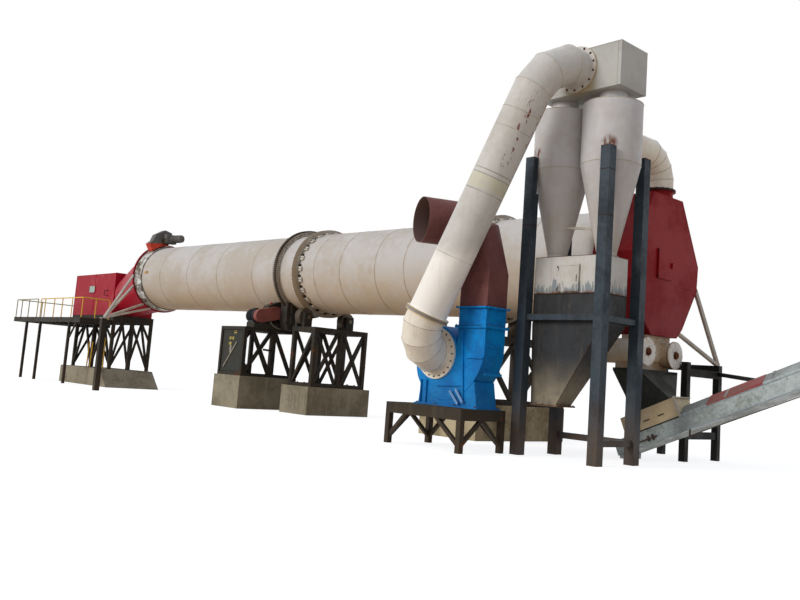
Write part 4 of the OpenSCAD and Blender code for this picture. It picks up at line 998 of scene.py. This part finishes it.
plenum_paint = finish("plenum paint", (184, 183, 177), (170, 167, 158), scale=0.9, amount=0.7, rust=0.1,
                      runs=0.16, run_colour=(204, 196, 160), extra=port_stain, rough=(0.36, 0.55))
coat(plenum_paint, "plenum")
column_welds = [(11.90, -2.99, 5.84), (10.24, -3.01, 5.84)]


def column_stains(tree, colour):
    """Rust drips where the front columns meet the shells: nearness to a weld, broken by tall noise."""
    ragged = span_node(tree, noise(tree, 1.0, 4.0, 0.6, (16.0, 16.0, 5.0)), 0.36, 0.56)
    for weld in column_welds:
        near = span_node(tree, measured(tree, "DISTANCE", weld), 0.19, 0.07)
        colour = mixed(tree, times(tree, near, ragged), colour, (104, 62, 38))
    return colour


cyclone_paint = finish("cyclone paint", (202, 200, 200), (190, 184, 178), scale=0.8, amount=0.8, rust=0.12,
                       rust_scale=3.2, runs=0.12, run_colour=(150, 140, 126),
                       band=(5.6, 3.9, (178, 160, 136), 0.5), extra=column_stains, rough=(0.45, 0.6))
coat(cyclone_paint, "cyclone_1", "cyclone_2")
cyclone_x, cyclone_y, cyclone_r = (10.475, 11.612), -2.5, 0.565
for number, x in enumerate(cyclone_x, 1):
    beads = [turned_ring(rim(z, r, 0.012, 0.005), (x, cyclone_y, 0), (0, 0, 1), 96)
             for z, r in ((5.53, cyclone_r), (6.712, cyclone_r), (6.93, 0.270), (3.90, 0.197))]
    piece(f"cyclone_{number}_welds", "plant", mitre_line, *joined(*beads), smooth=True,
          cad_slot="light_grey_paint")
    piece(f"cyclone_{number}_foot_flange", "plant", plenum_paint,
          *turned_ring(rim(3.785, 0.19, 0.03, 0.05), (x, cyclone_y, 0), (0, 0, 1), 64),
          cad_slot="light_grey_paint")
piece("cyclone_tie_bar", "plant", strut_paint, *bars((10.72, -2.60, 4.39), (11.33, -2.60, 4.33), 0.03, 0.05),
      cad_slot="cream_paint")
plenum_x, plenum_y, plenum_z = (10.18, 12.04), (-2.936, -2.063), (6.94, 7.80)
fold_z, face_fold_x = plenum_z[1] - 0.006, 11.96
piece("plenum_folds", "plant", plenum_paint, *joined(
    bars(points(plenum_x[0], plenum_y, fold_z), points(plenum_x[1], plenum_y, fold_z), 0.012, 0.012),
    bars((face_fold_x, plenum_y[0] - 0.003, plenum_z[0]), (face_fold_x, plenum_y[0] - 0.003, plenum_z[1]),
         0.02, 0.008, up=(0, 1, 0))), cad_slot="light_grey_paint")

# ---------------------------------------------------------------- tower
# Four square columns with two levels of beams carry the dust box, hopper and cyclones.
# Dark blue-grey paint, rusty at the feet, with thin site joints and rust scale on the column tops.

column_paint = finish("column paint", (62, 72, 80), (44, 48, 52), scale=1.6, amount=0.7, rust=0.22,
                      rust_scale=5.0, runs=0.2, run_colour=(92, 84, 74), band=(1.5, 0.0, (98, 78, 58), 0.7),
                      rough=(0.4, 0.6))
coat(column_paint, "tower_frame")
column_x, column_y, half_w = (10.21, 11.952), (-3.078, -1.92), 0.1
joint_shade = finish("joint line", (52, 44, 38), (84, 60, 44), scale=12.0, amount=0.8, rough=(0.7, 0.9))


def column_collar(x, y, z, wide, tall):
    """A thin square band round a column."""
    w = half_w + wide / 2 - 0.002
    corners = np.array([(x - w, y - w, z), (x + w, y - w, z), (x + w, y + w, z), (x - w, y + w, z)])
    return bars(corners, np.roll(corners, -1, axis=0), wide, tall)


piece("column_joints", "plant", joint_shade, *joined(*[
    column_collar(column_x[i], column_y[0], z, 0.006, 0.012) for i, z in ((1, 5.30), (1, 4.45), (0, 4.40))]),
    cad_slot="column_paint")
rust_brown = finish("rust scale", (112, 70, 44), (66, 42, 32), scale=14.0, amount=0.9, rough=(0.85, 0.95),
                    relief=0.5)
piece("column_top_caps", "plant", rust_brown, *joined(*[
    bars((x - half_w, y, 5.743), (x + half_w, y, 5.743), 2 * half_w, 0.012)
    for x in column_x for y in column_y]), cad_slot="column_paint")

# ---------------------------------------------------------------- dust box and hopper
# A sheet box with a hinged door takes the dust from both cyclones and feeds a welded hopper.
# Off-white paint peels to grey-blue primer low on the box; the hopper is dark, scratched and tan with dust.


def peeling(tree, colour):
    """Paint lost in tall ragged patches low on the box: tall noise above a height-dependent threshold."""
    height = place_parts(tree)["Z"]
    ragged = noise(tree, 1.0, 5.0, 0.7, (10.0, 10.0, 2.2))
    bare = span_node(tree, plus(tree, ragged, span_node(tree, height, 3.55, 3.06, 0.0, 0.28)), 0.68, 0.76)
    colour = mixed(tree, bare, colour, (136, 144, 146))
    edge = span_node(tree, height, 3.14, 3.07)
    return mixed(tree, times(tree, edge, span_node(tree, ragged, 0.4, 0.6)), colour, (120, 82, 56))


dust_paint = finish("dust box paint", (204, 202, 196), (190, 182, 168), scale=2.0, amount=0.7, rust=0.22,
                    rust_scale=4.5, runs=0.2, run_colour=(164, 128, 92), extra=peeling, rough=(0.45, 0.65))
coat(dust_paint, "dust_box", "dust_box_door")


def hopper_scratches(tree, colour):
    """Fine pale scratches: thin bands of noise stretched tall."""
    scratch = span_node(tree, noise(tree, 1.0, 3.0, 0.5, (26.0, 26.0, 2.0)), 0.64, 0.70)
    return mixed(tree, times(tree, scratch, 0.22), colour, (126, 124, 120))


hopper_paint = finish("hopper paint", (58, 60, 62), (48, 47, 46), scale=1.3, amount=0.7, rust=0.2,
                      rust_scale=3.5, runs=0.3, run_colour=(98, 90, 78),
                      band=(1.95, 0.95, (158, 146, 124), 0.9), extra=hopper_scratches, rough=(0.4, 0.6))
coat(hopper_paint, "dust_hopper")
dust_x, dust_y = (10.32, 11.90), (-2.96, -2.22)


def front_and_side(x_span, y_span, z, proud=0.0):
    """The starts and ends of two level lines: along a box's front edge, and back along its +X side."""
    front, side = y_span[0] - proud, x_span[1] + proud
    starts = points([x_span[0], side], [front, y_span[0]], z)
    return starts, points([x_span[1], side], [front, y_span[1]], z)


piece("dust_box_seam", "plant", joint_shade,
      *bars(*front_and_side(dust_x, dust_y, 3.062, 0.002), 0.02, 0.022), cad_slot="hopper_paint")
piece("dust_box_top_rim", "plant", rust_brown, *bars(*front_and_side(dust_x, dust_y, 3.768), 0.012, 0.008),
      cad_slot="light_grey_paint")


def hinge_sleeves(x, y, heights):
    """Two short tubes round a door's upright hinge pin, 40 mm tall each."""
    return joined(*[washer((z - 0.02, z + 0.02), (0.0075, 0.014), (x, y, 0), (0, 0, 1), 24) for z in heights])


piece("dust_box_door_hinges", "dust_box_door", rust_brown, *hinge_sleeves(10.88, -2.99, (3.135, 3.56)),
      cad_slot="light_grey_paint")
door_x, door_face, door_z = (10.90, 11.36), -2.992, (3.11, 3.59)
piece("dust_box_door_rim", "dust_box_door", dust_paint, *joined(
    bars(points(door_x[0], door_face, door_z), points(door_x[1], door_face, door_z), 0.010, 0.02),
    bars((door_x[1], door_face, door_z[0]), (door_x[1], door_face, door_z[1]), 0.010, 0.02, up=(0, 1, 0))),
    cad_slot="light_grey_paint")
outlet_bolts = edge_points((10.27, 10.93), (-2.88, -2.37), 0.981, 5)
bolts("hopper_outlet_bolts", "plant", outlet_bolts, (0, 0, 1), 0.014, 0.016)
piece("hopper_outlet_rim", "plant", rust_brown,
      *bars(*front_and_side((10.24, 10.96), (-2.905, -2.345), 0.966), 0.012, 0.02), cad_slot="hopper_paint")
hopper_foot = points([10.305, 10.895, 10.895], [-2.850, -2.850, -2.402], 0.99)
hopper_top = points([10.322, 11.898, 11.898], [-2.958, -2.958, -2.222], 2.50)
piece("hopper_corner_welds", "plant", joint_shade,
      *joined(*[pipe_run(ends, 0.007, 6) for ends in zip(hopper_foot, hopper_top)]), cad_slot="hopper_paint")

# ---------------------------------------------------------------- discharge hood
# An eight-sided hood of flanged plate takes the drum's end; a cream elbow draws its air to the cyclones.
# Dark crimson paint in broad uneven patches, duller low down; the small door hangs on two pins.

hood_red = finish("hood red", (144, 18, 28), (126, 16, 24), scale=0.8, amount=0.85, rust=0.06, runs=0.12,
                  run_colour=(96, 34, 38), band=(4.2, 2.6, (112, 26, 34), 0.5), rough=(0.42, 0.58),
                  relief=0.07)
coat(hood_red, "discharge_hood", "hood_door")
hood_front = 11.392
outline = np.array([(-0.50, 2.51), (0.50, 2.51), (0.72, 2.71), (1.27, 3.58), (1.31, 4.12), (0.57, 5.46),
                    (-0.57, 5.46), (-1.31, 4.12), (-1.27, 3.58), (-0.72, 2.71)])
middle = outline.mean(0)
edge_y, edge_z = (outline + 0.02 * unit(middle - outline)).T
piece("hood_edge_weld", "plant", hood_red,
      *pipe_run(closed(points(hood_front - 0.004, edge_y, edge_z)), 0.008, 6), cad_slot="red_paint")
piece("hood_panel_joint", "plant", hood_red, *bars(
    points(hood_front - 0.001, [-1.26, 0.30], 3.60),
    points(hood_front - 0.001, [-0.40, 1.26], 3.60), 0.008, 0.012), cad_slot="red_paint")
neck = np.array([11.05, 0.15, 5.65])
black_rim = finish("black rim", (44, 36, 34), (62, 48, 42), scale=7.0, amount=0.7, rust=0.3)
piece("hood_neck_rim", "plant", black_rim, *turned_ring(rim(-0.025, 0.35, 0.05, 0.006), neck, (0, 0, 1), 72),
      cad_slot="dark_steel")
neck_circle = points(np.cos(even_angles(16)), np.sin(even_angles(16)), 0)
bolts("hood_neck_bolts", "plant", neck + 0.328 * neck_circle, (0, 0, 1), 0.012, 0.014)
piece("hood_door_hinges", "hood_door", black_rim, *hinge_sleeves(11.42, -0.35, (3.735, 4.26)),
      cad_slot="red_paint")
upward = np.array([0.0, 0.0, 1.0])
rise_corners, rise_ways, _ = mitred_bend(neck + 0.1 * upward, upward, towards_front, 0.620, 4)
piece("hood_elbow_welds", "plant", mitre_line, *mitre_beads(rise_corners, rise_ways, 0.300, 0.006),
      smooth=True, cad_slot="cream_paint")

# ---------------------------------------------------------------- screw conveyors and discharge hopper
# Two screw troughs under the hood drop the dry material into a dark hopper over the belt.
# Tubes in worn cream paint, rusty round their end plates and hubs.

screw_paint = finish("screw paint", (214, 206, 188), (190, 160, 120), scale=2.4, amount=0.85, rust=0.3,
                     rust_scale=4.0, band=(2.2, 1.85, (156, 118, 84), 0.5), rough=(0.5, 0.7))
coat(screw_paint, "screw_conveyors")
screw_end = 11.52
disc_white = finish("end plate white", (232, 228, 218), (206, 196, 178), scale=6.0, amount=0.7, rust=0.2,
                    rust_scale=12.0, rough=(0.45, 0.6))
for number, (y, z) in enumerate(((-0.79, 2.15), (0.26, 2.14)), 1):
    hub = np.array([screw_end, y, z])
    piece(f"screw_{number}_hub", "plant", rust_brown, *joined(
        turned_ring([(0.004, 0.012), (0.052, 0.012), (0.046, 0.066), (0.004, 0.070)], hub, (1, 0, 0), 32),
        washer((0.004, 0.014), (0.064, 0.084), hub, (1, 0, 0), 40)), cad_slot="cast_steel")
    circle = points(0, np.cos(even_angles(10)), np.sin(even_angles(10)))
    piece(f"screw_{number}_bolts", "plant", bolt_steel, *joined(
        studs(hub + 0.265 * circle, (1, 0, 0), 0.010, 0.010),
        studs(hub + 0.112 * circle[::2] + [0.004, 0, 0], (1, 0, 0), 0.008, 0.010)), cad_slot="cast_steel")
    piece(f"screw_{number}_rim", "plant", rust_brown,
          *turned_ring(rim(-0.034, 0.285, 0.010, 0.003), hub, (1, 0, 0), 72), cad_slot="cream_paint")
    end_plate = [(0.0, 0.064), (0.005, 0.064), (0.005, 0.278), (0.0, 0.282)]
    piece(f"screw_{number}_face", "plant", disc_white, *turned_ring(end_plate, hub, (1, 0, 0), 72),
          cad_slot="cream_paint")
chute_black = finish("discharge black", (44, 46, 42), (34, 34, 32), scale=2.0, amount=0.7, rust=0.15,
                     runs=0.3, run_colour=(84, 78, 66), rough=(0.5, 0.7))
coat(chute_black, "discharge_hopper")
coat(finish("frame black", (30, 30, 30), (44, 42, 38), scale=2.4, amount=0.7, rust=0.2, rust_scale=5.0,
            rough=(0.45, 0.7)), "hood_frame")

# ---------------------------------------------------------------- belt conveyor
# A channel-sided trough with a peaked cover, drawn up at an angle; the inlet box straddles its tail.
# Galvanised sheet with its mottled spangle, one red cover length, a pale blue lower edge and take-up rods.

belt_foot = np.array([10.95, -0.80, 0.047])
belt_slope = np.radians(23.5)
belt_way = np.array([np.cos(belt_slope), 0, np.sin(belt_slope)])
belt_up = np.array([-np.sin(belt_slope), 0, np.cos(belt_slope)])


def on_belt(along, across, above):
    """Points in the conveyor's own frame: foot + along * way + across * Y + above * up."""
    return belt_foot + points(along, across, above) @ np.array([belt_way, [0, 1, 0], belt_up])


def belt_bars(starts, ends, width, depth):
    """Bars whose upper side faces squarely up from the belt, between places in the conveyor's own frame."""
    return bars(on_belt(*starts), on_belt(*ends), width, depth, up=belt_up)


def spangle(tree, colour):
    """Zinc crystals: each Voronoi cell takes its own grey, over a soft dusty tone."""
    cells = tree.nodes.new("ShaderNodeTexVoronoi")
    cells.inputs["Scale"].default_value = 22.0
    tree.links.new(object_place(tree), cells.inputs["Vector"])
    grey = tree.nodes.new("ShaderNodeSeparateColor")
    tree.links.new(cells.outputs["Color"], grey.inputs[0])
    return mixed(tree, times(tree, grey.outputs[0], 0.45), colour, (176, 182, 180))


zinc = finish("galvanised sheet", (138, 147, 146), (114, 118, 112), scale=1.6, amount=0.7, rust=0.1,
              rust_scale=4.0, runs=0.25, run_colour=(96, 92, 82), extra=spangle, rough=(0.35, 0.6),
              metal=0.35)
coat(zinc, "belt_conveyor")
coat(finish("inlet tan", (206, 188, 154), (184, 162, 126), scale=2.5, amount=0.7, rust=0.16, runs=0.3,
            rough=(0.5, 0.7)), "belt_inlet")
cover_red = finish("cover red", (140, 62, 60), (122, 96, 88), scale=2.2, amount=0.8, rust=0.15,
                   rough=(0.4, 0.6))
red_span = np.array([2.15, 3.30])
# The red length's section goes out along a raised skin and back along the plain one.
# Its faces are the walls between the two ends, then a cap of four quads on each end.
skin = np.array([[0.0, 0.292], [0.0, 0.335], [0.30, 0.505], [0.60, 0.335], [0.60, 0.292]])
skin_out = skin + [[-0.004, 0.0], [-0.004, 0.002], [0, 0.005], [0.004, 0.002], [0.004, 0.0]]
section = np.concatenate([skin_out, skin[::-1]])
cover_faces = [(j, (j + 1) % 10, 10 + (j + 1) % 10, 10 + j) for j in range(10)]
low_caps = [(k, k + 1, 8 - k, 9 - k) for k in range(4)]
high_caps = [(19 - k, 18 - k, 11 + k, 10 + k) for k in range(4)]
piece("belt_red_cover", "plant", cover_red, on_belt(red_span[:, None], section[:, 0], section[:, 1]),
      cover_faces + low_caps + high_caps, cad_slot="galvanised")
joint_at = np.arange(1.62, 7.6, 0.92)
piece("belt_cover_joints", "plant", zinc, *joined(
    belt_bars((joint_at, 0.0, 0.338), (joint_at, 0.30, 0.508), 0.05, 0.006),
    belt_bars((joint_at, 0.30, 0.508), (joint_at, 0.60, 0.338), 0.05, 0.006)), cad_slot="galvanised")
edge_blue = finish("edge pale blue", (150, 166, 176), (124, 136, 142), scale=3.0, amount=0.7, rust=0.1)
edge_from, edge_above = [1.55, 0.05], [0.288, 0.008]
piece("belt_side_edge", "plant", edge_blue, *joined(*[
    belt_bars((edge_from, across, edge_above), (7.66, across, edge_above), 0.012, 0.014)
    for across in (-0.004, 0.604)]), cad_slot="galvanised")
inlet = (0.30, 1.55)
bar_at = inlet[1] + 0.02
piece("belt_inlet_end_bar", "plant", strut_paint, *joined(
    bars(on_belt(bar_at, -0.012, 0.285), on_belt(bar_at, -0.012, 0.69), 0.05, 0.02, up=(0, 1, 0)),
    bars(on_belt(bar_at, 0.0, 0.682), on_belt(bar_at, 0.60, 0.682), 0.05, 0.02)), cad_slot="cream_paint")
piece("belt_inlet_seam", "plant", chute_black, *joined(
    belt_bars((inlet[0], -0.006, 0.296), (inlet[1], -0.006, 0.296), 0.014, 0.022),
    belt_bars(([0.78, 1.12], -0.006, 0.45), ([0.92, 1.26], -0.006, 0.45), 0.008, 0.02)),
    cad_slot="dark_steel")
rod_steel = finish("take-up rod", (86, 74, 62), (60, 52, 44), scale=9.0, amount=0.8, rust=0.4,
                   rust_scale=12.0)
block_at = [0.40, 0.78, 0.88]
piece("belt_take_up", "plant", rod_steel, *joined(
    pipe_run(on_belt([0.32, 0.98], -0.035, 0.10), 0.012, 8),
    bars(on_belt(block_at, -0.02, 0.05), on_belt(block_at, -0.02, 0.16), 0.03, 0.04, up=(0, 1, 0)),
    studs(on_belt([0.44, 0.74, 0.92], -0.035, 0.10), belt_way, 0.022, 0.02)), cad_slot="cast_steel")
piece("belt_under_rod", "plant", rod_steel, *joined(
    pipe_run([(12.47, -0.78, 0.595), (17.40, -0.78, 2.70)], 0.010, 8),
    bars(points([12.47, 17.38], -0.78, [0.58, 2.69]), points([12.47, 17.38], -0.78, [0.73, 2.84]), 0.03, 0.03,
         up=(0, 1, 0))), cad_slot="cast_steel")
side_bolts = on_belt(np.arange(1.9, 7.6, 0.46), -0.003, 0.235)
bolts("belt_side_bolts", "plant", side_bolts, (0, -1, 0), 0.009, 0.008)

# The hood frame's stay ends in a shoe on a plate that is bolted to the trough's far side.
piece("hood_stay_shoe", "plant", nodes["hood_frame"].data.materials[0], *joined(
    belt_bars((3.29, 0.606, 0.235), (3.50, 0.606, 0.235), 0.012, 0.17),
    belt_bars((3.34, 0.637, 0.27), (3.45, 0.637, 0.27), 0.05, 0.10)), cad_slot="dark_steel")
stay_bolts = on_belt([3.305, 3.485, 3.305, 3.485], 0.612, [0.17, 0.17, 0.30, 0.30])
bolts("hood_stay_bolts", "plant", stay_bolts, (0, 1, 0), 0.010, 0.008)

# ---------------------------------------------------------------- floor, light and camera
# A plain pale floor that keeps the shadow, an even sky, one soft key from the drive side, and the camera.
# To every other ray the floor is sandy ground, so that the undersides take its warm bounce.


def ray_mask(tree):
    """One for camera, glossy and transmission rays, nought for the rest."""
    ray = tree.nodes.new("ShaderNodeLightPath")
    some = math_node(tree, "ADD", ray.outputs["Is Camera Ray"], ray.outputs["Is Glossy Ray"], clamp=True)
    return math_node(tree, "ADD", some, ray.outputs["Is Transmission Ray"], clamp=True)


floor_paint = bpy.data.materials.new("pale floor")
floor_paint.use_nodes = True
tree = floor_paint.node_tree
tree.nodes.remove(tree.nodes["Principled BSDF"])
matte = tree.nodes.new("ShaderNodeBsdfDiffuse")
seen_grey, sandy_ground, floor_glow = (0.42, 0.42, 0.42, 1), (206, 184, 158), 0.79
wire(tree, (mixed(tree, ray_mask(tree), sandy_ground, seen_grey), matte.inputs["Color"]))
glow = tree.nodes.new("ShaderNodeEmission")
glow.inputs["Color"].default_value = (1, 1, 1, 1)
wire(tree, (times(tree, ray_mask(tree), floor_glow), glow.inputs["Strength"]))
both = tree.nodes.new("ShaderNodeAddShader")
wire(tree, (matte.outputs[0], both.inputs[0]), (glow.outputs[0], both.inputs[1]),
     (both.outputs[0], tree.nodes["Material Output"].inputs["Surface"]))
floor_half = 400.0
floor_mesh = bpy.data.meshes.new("floor")
floor_corners = points(floor_half * np.array([-1, 1, 1, -1]), floor_half * np.array([-1, -1, 1, 1]), -0.002)
floor_mesh.from_pydata(floor_corners.tolist(), [], [(0, 1, 2, 3)])
floor_mesh.materials.append(floor_paint)
floor = bpy.data.objects.new("floor", floor_mesh)
bpy.context.scene.collection.objects.link(floor)

world = bpy.data.worlds.new("studio")
bpy.context.scene.world = world
world.use_nodes = True
tree = world.node_tree
sky = tree.nodes["Background"]
sky_light, seen_white = (0.52, 0.56, 0.64, 1), (1, 1, 1, 1)
wire(tree, (mixed(tree, ray_mask(tree), sky_light, seen_white), sky.inputs["Color"]))
sky.inputs["Strength"].default_value = 1.0

key = bpy.data.lights.new("key", "SUN")
key.energy = 1.6
key.angle = np.radians(24)
key.color = (1.0, 0.98, 0.95)
key_lamp = bpy.data.objects.new("key", key)
bpy.context.scene.collection.objects.link(key_lamp)
key_from = unit(np.array([-0.25, -0.90, 0.36]))
key_side = unit(np.cross([0, 0, 1], key_from))
key_turn = np.eye(4)
key_turn[:3, :3] = np.stack([key_side, np.cross(key_from, key_side), key_from], 1)
key_lamp.matrix_world = Matrix(key_turn)

camera = bpy.data.cameras.new("camera")
view_width, view_height = 800, 600
focal, middle_x, middle_y = 867.77, 400.876, 268.358
camera.sensor_width = 36.0
camera.lens = focal / view_width * 36.0
camera.shift_x = (view_width / 2 - middle_x) / view_width
camera.shift_y = (middle_y - view_height / 2) / view_width
camera.clip_end = 2000.0
camera_object = bpy.data.objects.new("camera", camera)
bpy.context.scene.collection.objects.link(camera_object)
stand = np.eye(4)
stand[:3, 0] = unit(np.array([0.678564, 0.730800, 0.074037]))
stand[:3, 2] = unit(np.array([0.733469, -0.668680, -0.122022]))
stand[:3, 1] = np.cross(stand[:3, 2], stand[:3, 0])
stand[:3, 3] = (20.894953, -16.124544, 1.318193)
camera_object.matrix_world = Matrix(stand)
bpy.context.scene.camera = camera_object
bpy.context.scene.view_settings.view_transform = "Standard"
